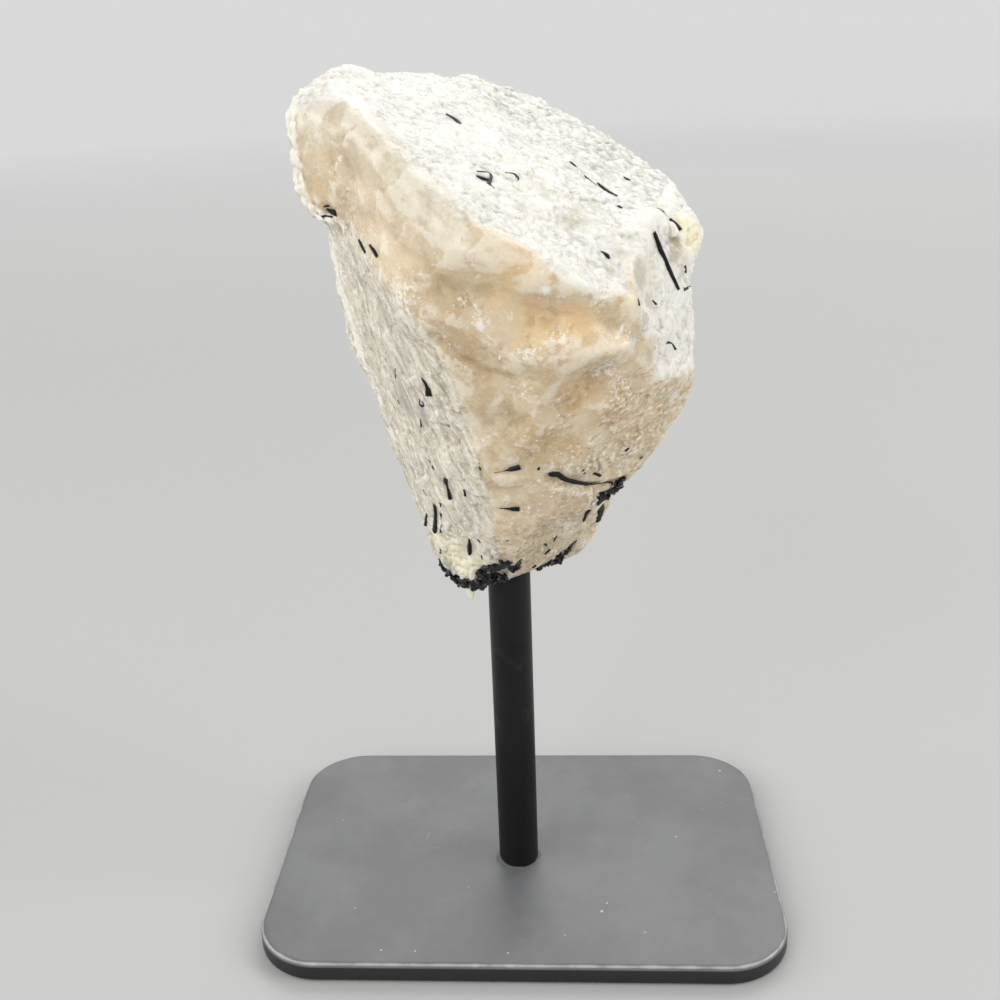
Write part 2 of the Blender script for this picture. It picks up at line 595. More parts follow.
# clouds of colour: x, y, z, radius, strength
stoneClouds = {
    "smoke": [(2.0, -25.8, 99.3, 3.2, 0.45), (0.7, -25.6, 95.5, 4.5, 0.30),
              (5.5, -25.0, 94.6, 4.5, 0.40), (10.3, -24.4, 92.8, 3.6, 0.40),
              (7.5, -21.7, 83.6, 3.8, 0.75), (10.8, -21.2, 85.3, 2.8, 0.7),
              (13.5, -18.5, 80.8, 3.9, 0.75), (4.5, -20.0, 77.5, 3.8, 0.68),
              (8.0, -19.0, 76.5, 3.0, 0.6), (-5.0, -24.0, 94.0, 3.0, 0.4),
              (-6.7, -22.9, 92.0, 1.3, 0.5), (-5.0, -22.9, 90.3, 1.3, 0.6),
              (-3.3, -22.7, 88.6, 1.3, 0.6), (-1.5, -22.4, 86.7, 1.4, 0.5),
              (-2.5, -23.6, 90.0, 2.6, 0.55), (-17.5, -15.5, 109.5, 3.5, 0.25),
              (1.5, -15.0, 64.5, 4.5, 0.25), (15.5, -14.5, 76.0, 4.0, 0.4)],
    "honey": [(3.5, -26.0, 98.5, 3.2, 0.55), (4.5, -25.3, 92.5, 4.2, 0.75),
              (8.5, -24.7, 92.0, 4.0, 0.75), (1.0, -25.4, 97.0, 3.8, 0.55),
              (8.5, -21.2, 83.6, 4.0, 0.45), (2.6, -24.9, 90.6, 1.8, 0.7),
              (-19.6, -12.5, 106.0, 1.6, 0.7), (-21.4, -11.4, 105.2, 1.0, 0.8)],
    "bisque": [(5.0, -14.8, 105.0, 2.6, 0.55), (8.8, -17.2, 102.4, 3.0, 0.75),
               (13.9, -18.4, 98.8, 1.3, 0.8), (14.4, -16.0, 100.4, 1.6, 0.6),
               (11.8, -12.1, 103.4, 2.4, 0.6), (12.5, -21.0, 97.3, 1.4, 0.9),
               (16.3, -17.5, 96.7, 2.3, 1.3), (17.2, -17.2, 93.3, 1.6, 0.9),
               (16.7, -18.7, 91.4, 1.3, 1.0), (15.3, -21.0, 90.1, 2.0, 1.3),
               (16.8, -18.4, 87.2, 1.8, 0.9), (20.7, -9.2, 97.6, 1.9, 1.2),
               (18.2, -12.7, 98.8, 1.2, 0.8), (8.6, -23.0, 99.5, 1.0, 0.5),
               (19.0, -6.4, 102.0, 1.4, 0.6)],
    "cream": [(-7.0, -9.0, 58.0, 5.0, 1.0), (-5.0, -11.0, 56.0, 3.5, 1.0), (-8.5, -6.0, 61.0, 3.5, 0.7),
              (-5.5, -8.4, 54.2, 2.4, 1.0), (22.4, -6.0, 98.6, 2.8, 1.3), (22.9, -5.0, 96.8, 1.6, 1.0),
              (9.0, -24.3, 90.6, 1.2, 0.55), (11.0, -23.9, 91.6, 1.2, 0.55)],
    "ash": [(-11.8, -16.1, 86.6, 3.4, 0.50), (-12.8, -13.6, 83.6, 3.4, 0.50),
            (-12.2, -12.5, 80.0, 2.8, 0.7), (-9.5, -15.0, 80.0, 2.2, 0.75),
            (-7.5, -14.5, 73.0, 2.4, 0.4), (-1.4, -17.3, 73.3, 0.6, 1.0), (-0.2, -17.5, 73.4, 0.6, 1.0),
            (-1.3, -15.4, 67.7, 0.5, 1.0), (-0.4, -15.0, 67.3, 0.5, 0.9), (12.5, -19.0, 98.4, 1.0, 0.6),
            (-9.0, -7.0, 55.5, 1.6, 0.7), (8.0, -16.5, 72.3, 1.3, 0.55), (9.6, -15.4, 71.4, 1.5, 0.6),
            (11.0, -13.9, 70.8, 1.0, 0.5), (-7.6, -13.4, 69.6, 1.0, 0.6), (-10.1, -8.9, 63.2, 1.0, 0.6),
            (-11.4, -6.6, 62.0, 0.9, 0.7), (-5.4, -10.6, 59.8, 0.8, 0.7),
            (-1.2, -17.0, 107.6, 1.0, 0.55), (17.2, -11.2, 72.1, 1.0, 0.6),
            (13.0, -9.4, 65.0, 1.2, 0.6), (-20.2, -11.2, 103.4, 0.8, 0.8),
            (12.6, -6.4, 63.0, 1.6, 0.4)],
    "pale": [(20.8, -12.6, 80.6, 2.2, 0.55), (20.1, -11.7, 77.6, 2.0, 0.45),
             (18.9, -15.5, 84.6, 2.0, 0.9), (21.2, -13.0, 85.6, 2.4, 1.0),
             (20.5, -14.0, 88.6, 1.8, 0.6), (-19.5, -6.0, 96.0, 2.0, 0.9),
             (-19.0, -6.5, 90.0, 1.8, 0.9), (-17.8, -7.3, 86.5, 1.5, 0.8),
             (-9.0, -20.5, 109.6, 1.2, 0.5), (5.5, -26.7, 96.8, 0.70, 1.2),
             (-1.6, -24.8, 92.3, 0.75, 1.2), (-5.5, -11.0, 58.0, 3.0, 0.45),
             (-19.8, -13.2, 112.0, 4.0, 0.40), (12.5, -11.0, 65.5, 2.4, 0.45),
             (11.7, -21.9, 86.8, 0.9, 0.9), (7.4, -24.9, 90.7, 0.7, 0.9),
             (6.0, -14.5, 68.5, 1.2, 0.45)],
    "chips": [(-24.2, -9.2, 112.0, 1.8, 0.7), (-23.4, -10.0, 108.2, 1.8, 0.7),
              (-22.4, -9.8, 104.6, 1.6, 0.7), (4.0, -17.5, 74.0, 6.0, 0.35),
              (2.0, -15.5, 67.5, 5.0, 0.40), (9.0, -16.0, 74.0, 5.0, 0.40),
              (-1.8, -24.3, 92.9, 2.0, 0.9), (5.5, -26.0, 96.6, 1.6, 0.5),
              (11.4, -24.2, 95.2, 2.0, 0.8), (7.0, -24.6, 90.9, 2.0, 0.8),
              (12.2, -21.9, 86.8, 2.6, 1.0), (3.7, -24.0, 88.9, 2.2, 0.9),
              (-4.3, -24.5, 94.8, 2.0, 0.7), (14.2, -20.5, 90.5, 1.8, 0.9),
              (14.0, -18.8, 83.0, 3.2, 0.8), (-9.5, -22.2, 96.2, 2.6, 0.9),
              (-12.5, -19.5, 99.5, 2.6, 0.7), (9.2, -14.5, 69.0, 2.2, 1.0),
              (-16.5, -14.5, 106.0, 2.6, 0.6), (0.5, -18.5, 79.5, 3.0, 0.4),
              (3.0, -22.0, 84.5, 2.4, 0.6), (13.0, -11.5, 66.5, 2.5, 0.8), (7.5, -10.5, 62.5, 2.8, 0.9),
              (16.5, -13.0, 75.0, 2.5, 0.6)],
}

# white lines along broken edges: strength, half width, points
stoneLines = {
    "lobeRim": (1.8, 1.7, [(-21.8, -8.4, 117.0), (-23.0, -9.0, 116.0), (-23.6, -9.8, 114.4),
                           (-23.8, -10.2, 112.7), (-23.8, -10.3, 111.1), (-23.8, -10.4, 109.4),
                           (-23.7, -10.1, 107.7), (-23.3, -10.3, 105.8), (-22.8, -10.2, 104.2),
                           (-21.8, -10.8, 103.0), (-20.6, -11.6, 102.4)]),
    "lobeVein": (1.0, 0.5, [(-18.1, -14.9, 108.7), (-16.6, -16.0, 110.8), (-15.6, -16.7, 112.1)]),
    "brightLine": (1.3, 0.42, [(-6.0, -15.1, 71.8), (-5.5, -15.1, 70.9), (-4.5, -15.0, 69.5),
                               (-3.4, -14.7, 67.5), (-2.2, -14.4, 65.2), (-1.1, -13.8, 63.2),
                               (-0.2, -13.5, 62.4)]),
    "brightLineTwo": (1.0, 0.38, [(-7.6, -15.3, 74.7), (-6.9, -15.1, 72.9), (-6.6, -14.7, 71.4)]),
    "chipEdge": (0.9, 0.5, [(-2.8, -24.2, 92.9), (-1.1, -24.1, 91.5), (0.4, -23.9, 90.1),
                            (1.7, -23.8, 88.9), (2.8, -23.8, 88.0)]),
    "patchLeft": (1.2, 0.6, [(15.6, -15.2, 99.8), (15.0, -17.6, 98.2), (15.0, -19.0, 96.5),
                             (14.9, -19.9, 94.7), (15.5, -19.8, 93.6), (17.0, -18.0, 92.3),
                             (18.0, -16.5, 90.1), (18.2, -16.4, 87.8)]),
    "patchLow": (1.1, 0.6, [(14.9, -20.6, 93.5), (14.1, -21.7, 91.4), (13.1, -22.5, 90.2)]),
    "leftStrip": (1.3, 1.2, [(-20.2, -9.2, 100.3), (-20.4, -7.8, 97.9), (-20.2, -8.0, 96.1),
                             (-19.9, -8.0, 93.6), (-19.2, -8.1, 91.2), (-18.7, -8.2, 88.7),
                             (-18.1, -8.0, 86.0), (-17.3, -7.8, 83.5), (-16.6, -6.8, 80.4),
                             (-15.6, -6.2, 77.0)]),
    "leftStripe": (0.8, 1.2, [(-18.4, -6.8, 86.3), (-16.9, -6.3, 79.9), (-14.8, -6.7, 73.5)]),
    "splash": (0.9, 0.42, [(-2.4, -24.4, 95.0), (-1.5, -24.6, 93.7), (-1.6, -24.8, 92.3)]),
    "scoopLeft": (0.95, 0.9, [(-1.8, -24.0, 91.9), (-1.2, -23.5, 90.1), (0.3, -23.5, 88.9),
                              (2.5, -23.6, 88.1)]),
    "scoopBand": (0.25, 1.5, [(13.5, -22.6, 93.4), (11.4, -23.9, 92.1), (9.8, -24.2, 90.8),
                              (7.0, -24.7, 89.8)]),
    "frontRidge": (0.60, 0.9, [(10.3, -23.7, 89.7), (8.7, -24.0, 88.3), (6.5, -23.3, 86.0),
                               (4.6, -22.1, 83.2), (2.9, -19.9, 79.1), (1.3, -18.9, 75.8)]),
    "creamEdge": (0.45, 0.5, [(9.4, -24.0, 89.9), (11.7, -23.3, 89.9), (13.4, -22.0, 90.4)]),
    "patchEdge": (0.80, 0.5, [(14.4, -21.0, 94.6), (14.8, -19.6, 96.4), (15.2, -18.2, 97.8),
                              (16.6, -13.8, 100.2)]),
    "dripEdge": (0.75, 0.5, [(10.9, -24.2, 95.6), (12.0, -24.0, 95.0), (13.5, -22.4, 94.9)]),
    "sideLine": (0.60, 0.7, [(14.0, -21.4, 89.2), (16.2, -18.6, 86.4), (18.1, -16.3, 84.1),
                             (20.4, -13.6, 82.8)]),
}

borderSeed = 7                         # fixes how the clouds of colour and the white lines wander

# borders between the faces, which run with the first of the two on their left hand
stoneBorders = {
    "snowOverFront": [(-22.5, -11.2, 114.7), (-18.5, -12.7, 115.5), (-16.5, -13.4, 115.2),
                      (-14.4, -15.7, 114.0), (-12.5, -17.3, 112.6), (-11.2, -18.2, 111.6),
                      (-10.0, -19.6, 110.4), (-8.8, -21.2, 109.0), (-7.0, -22.5, 107.5),
                      (-5.4, -23.6, 105.8), (-4.0, -24.9, 104.2), (-1.2, -25.1, 103.5),
                      (0.8, -24.6, 102.6), (3.5, -25.4, 100.5), (6.3, -25.8, 98.0), (9.3, -25.0, 96.3),
                      (12.0, -24.0, 95.0), (14.0, -21.6, 94.9), (14.9, -19.2, 96.6),
                      (15.6, -16.6, 98.9), (16.5, -13.8, 100.4), (17.7, -10.1, 101.7)],
    "snowOverSide": [(16.9, -13.4, 100.2), (17.9, -14.1, 97.4), (18.1, -14.9, 94.6),
                     (17.6, -16.6, 92.4), (17.9, -16.6, 89.0), (18.2, -16.5, 86.0), (19.3, -15.2, 83.9),
                     (20.9, -13.4, 83.3), (22.9, -11.0, 83.2)],
    "frontOverLeft": [(-19.7, -10.6, 103.1), (-17.8, -12.6, 103.1), (-16.2, -13.9, 102.7),
                      (-15.1, -15.5, 100.7), (-13.4, -18.3, 98.9), (-11.6, -21.1, 97.3),
                      (-9.7, -22.9, 95.4), (-8.0, -23.1, 93.2), (-6.5, -22.1, 89.8),
                      (-5.3, -21.5, 87.0), (-4.4, -20.7, 84.1), (-3.4, -19.8, 81.4),
                      (-3.0, -18.5, 77.3), (-2.5, -17.4, 73.7), (-2.0, -16.2, 69.9),
                      (-1.5, -14.3, 65.1), (-0.7, -12.3, 60.3)],
}

# the white fold between the top and the right face
foldLine = [(17.7, -10.1, 101.7), (16.5, -13.8, 100.4), (15.9, -16.4, 98.6), (16.0, -18.2, 95.8),
            (16.6, -18.2, 93.6), (17.5, -17.2, 91.0)]


# ridges and grooves: height, half width, points of the line
stoneRidges = {
    "leftRidge": (0.95, 4.6, [(-18.8, -11.2, 102.2), (-16.6, -13.0, 100.4), (-13.2, -18.6, 98.7),
                              (-10.0, -22.6, 96.2), (-8.0, -22.9, 93.6), (-6.4, -22.4, 90.2),
                              (-4.8, -21.5, 86.4), (-3.5, -20.8, 82.9), (-2.6, -19.2, 78.7),
                              (-2.2, -17.8, 74.5), (-1.9, -16.3, 70.8), (-1.0, -14.6, 65.2),
                              (-0.1, -12.3, 60.0)]),
    "browRidge": (0.70, 3.6, [(-18.2, -12.2, 115.9), (-16.8, -13.4, 114.9), (-14.5, -17.5, 112.4),
                              (-12.2, -19.9, 109.1), (-9.9, -22.1, 105.9), (-7.2, -24.2, 103.1),
                              (-4.4, -25.7, 101.3), (-0.5, -26.3, 100.3), (3.4, -26.0, 99.4),
                              (7.7, -25.4, 97.5), (12.0, -24.0, 95.3), (14.5, -21.4, 93.9)]),
    "rightRidge": (0.60, 2.8, [(14.5, -21.4, 93.9), (14.7, -19.5, 96.1), (15.1, -17.8, 97.8),
                               (16.6, -13.2, 100.4), (18.2, -9.0, 101.8)]),
    "scoopLip": (0.75, 2.6, [(-6.1, -23.4, 93.9), (-4.5, -23.9, 93.3), (-2.7, -23.8, 92.0),
                             (0.2, -23.8, 90.1), (3.0, -23.7, 88.5), (6.5, -24.6, 89.1),
                             (9.6, -23.9, 89.2), (12.0, -23.0, 89.3), (14.0, -21.4, 89.2)]),
    "scoopFloor": (-0.80, 3.2, [(-3.5, -24.6, 96.6), (0.5, -25.4, 95.6), (5.0, -25.2, 94.2),
                                (9.5, -24.5, 93.2), (12.5, -22.9, 92.4)]),
    "sideRidge": (0.55, 2.6, [(14.0, -21.4, 89.2), (16.2, -18.6, 86.4), (18.1, -16.3, 84.1),
                              (20.4, -13.6, 82.8), (22.9, -10.4, 82.6)]),
    "frontRidge": (0.60, 3.0, [(10.3, -23.6, 89.3), (7.5, -23.6, 86.8), (4.6, -21.9, 83.1),
                               (2.4, -19.8, 78.2), (0.9, -17.6, 73.0)]),
    "cheekHollow": (-0.60, 3.4, [(9.5, -21.8, 85.5), (8.8, -20.6, 81.5), (7.5, -19.4, 77.6)]),
    "ledgeGroove": (-0.55, 1.1, [(5.4, -17.4, 72.0), (7.3, -15.7, 70.4), (9.8, -13.9, 69.1),
                                 (12.4, -12.1, 68.6), (14.5, -11.1, 69.1)]),
    "hornRidge": (0.50, 1.6, [(18.5, -9.0, 101.6), (19.9, -9.3, 100.2), (21.5, -8.3, 98.6),
                              (22.8, -7.5, 96.3), (22.9, -6.9, 94.9)]),
    "needleBank": (-0.35, 1.6, [(19.0, -10.4, 100.2), (20.8, -9.2, 96.6), (22.0, -8.4, 93.6)]),
    "lobeCorner": (0.30, 2.4, [(-23.2, -8.8, 105.6), (-22.6, -8.4, 103.4), (-21.2, -9.0, 102.5),
                               (-20.2, -9.8, 102.4)]),
    "underLobe": (-1.30, 1.5, [(-21.8, -4.0, 101.2), (-21.8, -7.0, 101.4), (-21.4, -9.6, 101.5),
                               (-20.2, -11.0, 101.2), (-18.8, -11.6, 101.2)]),
    "leftBulge": (1.00, 4.2, [(-19.8, -6.4, 98.4), (-19.4, -6.6, 95.0), (-18.9, -6.6, 90.0),
                              (-18.2, -6.6, 85.5)]),
    "scoopCrack": (-0.45, 0.8, [(-7.0, -22.6, 91.6), (-4.6, -22.4, 89.4), (-2.4, -22.6, 87.6),
                                (-0.8, -22.8, 86.6), (1.6, -22.6, 86.2)]),
    "tipEnd": (1.00, 3.4, [(-8.0, -7.4, 53.4), (-6.2, -8.4, 53.0), (-4.4, -8.8, 53.2)]),
}


def shareAlong(points, start, run):
    # how far along a straight stretch the nearest spot to every point lies, from 0 to 1
    return np.clip(np.einsum("ij,j->i", points - start, run) / (run * run).sum(), 0.0, 1.0)


def lineGap(points, line):
    # distance of every point from a line of straight stretches
    gap = np.full(len(points), 1.0e9)
    for start, end in zip(line[:-1], line[1:]):
        start, end = np.array(start), np.array(end)
        run = end - start
        share = shareAlong(points, start, run)
        gap = np.minimum(gap, np.linalg.norm(points - start - share[:, None] * run, axis=1))
    return gap


def raiseRidges(mesh):
    points = pointsOf(mesh) / mm
    normals = averaged(mesh, normalsOf(mesh), 8)
    normals /= np.maximum(np.linalg.norm(normals, axis=1, keepdims=True), 1e-6)
    lift = np.zeros(len(points))
    for height, reach, line in stoneRidges.values():
        lift += height * np.clip(1.0 - lineGap(points, line) / reach, 0.0, 1.0)
    movePoints(mesh, (points + normals * lift[:, None]) * mm)


def healedStone(shape):
    mesh = remeshed(mergedCopy("quartz_stone"), shape["coarseVoxel"])
    swell = shape["groovesClosed"] * mm
    movePoints(mesh, pointsOf(mesh) + normalsOf(mesh) * swell)
    mesh = remeshed(mesh, shape["coarseVoxel"])
    movePoints(mesh, pointsOf(mesh) - normalsOf(mesh) * swell)
    raiseRidges(mesh)
    return remeshed(mesh, shape["fineVoxel"])


def borderSide(points, normals, line):
    # distance from a border on the skin, positive on its left hand
    side = np.zeros(len(points))
    least = np.full(len(points), 1.0e9)
    for start, end in zip(line[:-1], line[1:]):
        start, end = np.array(start), np.array(end)
        run = end - start
        share = shareAlong(points, start, run)
        away = points - start - share[:, None] * run
        gap = np.linalg.norm(away, axis=1)
        turn = np.einsum("ij,ij->i", away, np.cross(normals, run))
        side = np.where(gap < least - 1.0e-6, np.copysign(gap, turn), side)
        least = np.minimum(least, gap)
    return side


def markStone(mesh):
    noise.seed_set(borderSeed)
    points = pointsOf(mesh) / mm
    normals = averaged(mesh, normalsOf(mesh), 24)
    normals /= np.maximum(np.linalg.norm(normals, axis=1, keepdims=True), 1e-6)
    x, y, z = points.T
    sides = {name: borderSide(points, normals, line) for name, line in stoneBorders.items()}
    back = ramp(normals[:, 1], 0.15, 0.55)
    top = ramp(sides["snowOverFront"], -1.5, 2.5) * ramp(z, 88.0, 94.0) * ramp(normals[:, 2], -0.1, 0.3)
    beyond = ramp(y, -14.0, -4.0)
    patches = np.array([noise.fractal(Vector(point) / 3.4, 1.0, 2.0, 3) for point in points])
    right = ramp(sides["snowOverSide"], -3.2, 2.0) * (1.0 - top)
    right = right * ramp(x + 2.0 * patches * beyond, 12.0 - 7.0 * beyond, 16.0 + 3.0 * beyond)
    right = right * ramp(z - 83.0, -5.0 - 9.0 * beyond, 2.0 + 7.0 * beyond)
    left = ramp(-sides["frontOverLeft"], -3.0, 3.0) * ramp(-normals[:, 0], -0.1, 0.3)
    left = left * (1.0 - top) * (1.0 - back)
    low = ramp(normals[:, 0], 0.15, 0.50) * ramp(86.0 - z, 0.0, 6.0) * (1.0 - right)
    tip = ramp(64.0 - z, 0.0, 5.0) * ramp(1.0 - x, 0.0, 3.0)
    far = top * ramp(y + 0.45 * x, -3.0, 4.0)
    behind = back * (1.0 - top)
    front = np.clip(1.0 - top - left - right - low - tip - behind, 0.0, 1.0)
    soft = 1.6 + 2.6 * ramp(x, -15.0, -11.0) * ramp(-x, -1.0, 5.0)
    snow = ramp(sides["snowOverFront"], -soft, 1.2 * soft) * ramp(z, 86.0, 92.0)
    upward = ramp(normals[:, 2] + 0.4 * patches, -0.1, 0.7)
    snow = np.maximum(snow * (1.0 - back), np.maximum(right, back * upward))
    snow = np.maximum(snow, ramp(-lineGap(points, foldLine), -3.2, -1.2))
    fade = ramp(sides["snowOverFront"], -9.0, -0.5) * ramp(-x, -4.0, 8.0)
    lobe = ramp(-x, 10.0, 15.0) * ramp(z, 102.0, 106.0)
    line = np.zeros(len(points))
    drift = np.array([noise.turbulence_vector(Vector(point) / 4.0, 2, False) for point in points])
    for strength, reach, path in stoneLines.values():
        line = np.maximum(line, strength * ramp(-lineGap(points + 0.25 * drift, path), -reach, 0.0))
    brow = ramp(sides["snowOverFront"], -9.0, -4.0) * ramp(z, 88.0, 93.0)
    spread = 0.75 * top + 0.7 * left + 0.9 * right + 0.65 * low + 0.55 * behind + 1.0 * tip + 0.18 * front
    rugged = np.clip(spread + 0.30 * ramp(patches, -0.1, 0.5) - 0.35 * ramp(-patches, 0.0, 0.5), 0.05, 1.0)
    smooth = front * ramp(sides["snowOverFront"], -13.0, -7.0) * ramp(z, 88.0, 93.0) * ramp(9.0 - x, 0.0, 8.0)
    teeth = np.maximum(far, ramp(-lineGap(points, stoneLines["lobeRim"][2]), -2.4, -1.0))
    weights = {
        "calm": smooth, "teeth": teeth, "rugged": rugged, "topFace": top, "leftFace": left,
        "rightFace": right, "lowRight": low, "tipZone": tip, "farEdge": far, "backFace": behind,
        "frontFace": front, "snow": snow, "whiteLine": line,
        "browFade": np.maximum(0.8 * fade, 0.30 * lobe)}
    drifted = points + 1.2 * drift
    for name, spots in stoneClouds.items():
        weight = np.zeros(len(points))
        for px, py, pz, radius, strength in spots:
            wander = min(1.0, radius / 2.5)
            gap = np.linalg.norm(points + wander * (drifted - points) - (px, py, pz), axis=1)
            weight = np.maximum(weight, strength * ramp(-gap, -radius * 1.25, -radius * 0.25))
        weights[name] = weight
    calm = np.maximum(0.75 * front * brow, 0.7 * np.minimum(weights["bisque"], 1.0))
    weights["rugged"] = np.maximum(rugged * (1.0 - calm), np.maximum(weights["chips"], 0.7 * line))
    paths = [path for _, path in crystalPaths.values()]
    gaps = [lineGap(points, [point[:3] for point in path]) for path in paths]
    weights["beside"] = ramp(-np.min(gaps, axis=0), -1.8, -0.6)
    storeWeights(mesh, weights)
    return mesh


def markCrests(mesh):
    # how far a point stands proud of its neighbourhood
    points = pointsOf(mesh)
    near = averaged(mesh, points, 6)
    crest = np.einsum("ij,ij->i", points - near, normalsOf(mesh)) / (0.05 * mm)
    storeWeights(mesh, {"fineCrest": np.clip(crest, -2.0, 2.0)})


def makeReliefTree(sizes, shape, material):
    tree, desk, inlet = newTree("brokenQuartzRelief", sizes)
    place = desk.add("GeometryNodeInputPosition")
    normal = desk.add("GeometryNodeInputNormal")
    top = readWeight(desk, "topFace")
    left = readWeight(desk, "leftFace")
    right = readWeight(desk, "rightFace")
    low = readWeight(desk, "lowRight")
    tip = readWeight(desk, "tipZone")
    far = readWeight(desk, "farEdge")
    back = readWeight(desk, "backFace")
    front = readWeight(desk, "frontFace")

    def scaled(name):
        return 1.0 / (inlet[name] * mm)

    def tilted(where, name):
        cell = desk.add("ShaderNodeTexVoronoi", {}, {"Vector": where, "Scale": scaled(name)})
        lean = vectorStep(desk, "SUBTRACT", cell["Color"], (0.5, 0.5, 0.5))
        away = vectorStep(desk, "SUBTRACT", where, cell["Position"])
        return vectorStep(desk, "DOT_PRODUCT", lean, away) * scaled(name) * 2.0

    def woolly(where, name, detail):
        return desk.add("ShaderNodeTexNoise", {}, {"Vector": where, "Scale": scaled(name),
                                                   "Detail": detail, "Roughness": 0.6}) - 0.5

    loose = warped(desk, place, 2.2, 0.5)
    ledges = tilted(warped(desk, place, 5.0, 1.2), "Ledge Size") * inlet["Ledge Depth"]
    broad = tilted(loose, "Break Size") * inlet["Break Depth"]
    chips = tilted(warped(desk, place, 0.9, 0.2), "Chip Size") * inlet["Chip Depth"]
    grainCell = desk.add("ShaderNodeTexVoronoi", {}, {"Vector": loose, "Scale": scaled("Grain Size")})
    grains = (0.45 - grainCell["Distance"]) + woolly(loose, "Grain Size", 3.0)
    grains = grains * inlet["Grain Depth"]
    toothCell = desk.add("ShaderNodeTexVoronoi", {}, {"Vector": loose, "Scale": scaled("Tooth Size")})
    teeth = (0.45 - toothCell["Distance"]) * inlet["Tooth Depth"] * readWeight(desk, "teeth")
    leftFibre = woolly(stretched(desk, loose, shape["leftGrain"], 6.0), "Fibre Width", 3.0)
    lowFibre = woolly(stretched(desk, loose, shape["lowGrain"], 5.0), "Fibre Width", 3.0)
    farFibre = woolly(stretched(desk, loose, shape["farGrain"], 9.0), "Fibre Width", 2.0)
    fibres = (leftFibre * left + lowFibre * low * 1.2 + farFibre * far * 1.1) * inlet["Fibre Depth"] * 2.0
    swell = (desk.add("ShaderNodeTexNoise", {}, {"Vector": place, "Scale": 1.0 / (5.0 * mm),
                                                 "Detail": 2.0}) - 0.5) * inlet["Swell Depth"] * 2.0
    rugged = readWeight(desk, "rugged")
    height = broad * (0.45 * top + 0.6 * left + 0.8 * right + 0.9 * low + 0.9 * back
                      + 0.6 * front + 0.9 * tip)
    height = height + chips * (0.6 * top + 0.6 * left + 0.8 * right + 1.0 * low + 1.0 * back
                               + 0.8 * front + 1.0 * tip)
    height = height + grains * (2.3 * top - 1.2 * far * top + 0.5 * right + 0.3 * back + 1.0 * tip)
    height = height * rugged
    height = height + ledges * (0.3 * top + 0.5 * left + 0.75 * right + 0.6 * low + 0.5 * back
                                + 0.15 * front)
    height = (height + fibres + teeth) * (1.0 - 0.85 * readWeight(desk, "beside")) + swell
    offset = vectorStep(desk, "SCALE", normal, scale=height * mm)
    moved = desk.add("GeometryNodeSetPosition", {}, {"Geometry": inlet["Mesh"], "Offset": offset})
    endTree(desk, moved, material)
    return tree


def thinned(mesh, kept):
    def addDecimate(carrier):
        modifier = carrier.modifiers.new("thinning", "DECIMATE")
        modifier.ratio = kept
    return bakedMesh(mesh, addDecimate)


def buildStone():
    material = makeStoneMaterial(stoneLook)
    mesh = markStone(healedStone(stoneShape))
    tree = makeReliefTree(reliefSizes, stoneShape, material)
    mesh = thinned(grown(mesh, tree, reliefSizes), stoneShape["kept"])
    markCrests(mesh)
    piece = addPiece("quartzStone", mesh, material, "quartz", "quartz_stone")
    print("stone:", len(mesh.polygons), "faces")
    return piece


# splinters and crumbs that stand on the stone's broken faces

splinterSizes = {
    "Density": 0.7,                    # per square millimetre where they are thickest
    "Length": 0.58,
    "Seed": 7,
}

splinterShape = {
    "corners": 5,
    "tipRadius": 0.22,
    "footRadius": 0.50,
    "length": 0.45,
    "sunk": 0.28,                      # depth of the foot under the skin
    "leastScale": (0.5, 0.4, 0.5),
    "mostScale": (2.0, 0.9, 1.5),
    "lean": 0.7,
}


def scattered(desk, mesh, density, seed, lean):
    # points on the skin, each with a turn of its own that leans up to lean radians
    spread = desk.add("GeometryNodeDistributePointsOnFaces", {"distribute_method": "RANDOM"}, {
        "Mesh": mesh, "Density": density * 1.0e6, "Seed": seed})
    tilt = desk.add("FunctionNodeRandomValue", {"data_type": "FLOAT_VECTOR"}, {
        "Min": (-lean, -lean, -3.14), "Max": (lean, lean, 3.14), "Seed": seed})
    turn = desk.add("FunctionNodeRotateRotation", {"rotation_space": "LOCAL"}, {
        "Rotation": spread["Rotation"], "Rotate By": desk.add("FunctionNodeEulerToRotation", {}, {0: tilt})})
    return spread["Points"], turn


def makeSplinterTree(sizes, shape, material):
    tree, desk, inlet = newTree("quartzSplinters", sizes)
    pick = readWeight(desk, "splinters")
    place = desk.add("GeometryNodeInputPosition")
    patch = soften(desk, desk.add("ShaderNodeTexNoise", {}, {"Vector": place, "Scale": 1.0 / (3.0 * mm),
                                                             "Detail": 2.0}), 0.42, 0.66)
    density = pick * patch * inlet["Density"]
    spots, turn = scattered(desk, inlet["Mesh"], density, inlet["Seed"], shape["lean"])
    shard = desk.add("GeometryNodeMeshCone", {}, {
        "Vertices": shape["corners"], "Radius Top": shape["tipRadius"] * mm,
        "Radius Bottom": shape["footRadius"] * mm, "Depth": shape["length"] * mm})
    sunk = desk.add("GeometryNodeTransform", {}, {
        "Geometry": shard, "Translation": (0.0, 0.0, -shape["sunk"] * mm)})
    size = desk.add("FunctionNodeRandomValue", {"data_type": "FLOAT_VECTOR"}, {
        "Min": shape["leastScale"], "Max": shape["mostScale"], "Seed": inlet["Seed"]})
    size = vectorStep(desk, "SCALE", size, scale=inlet["Length"])
    shards = desk.add("GeometryNodeInstanceOnPoints", {}, {
        "Points": spots, "Instance": sunk, "Rotation": turn, "Scale": size})
    endTree(desk, shards, material)
    return tree


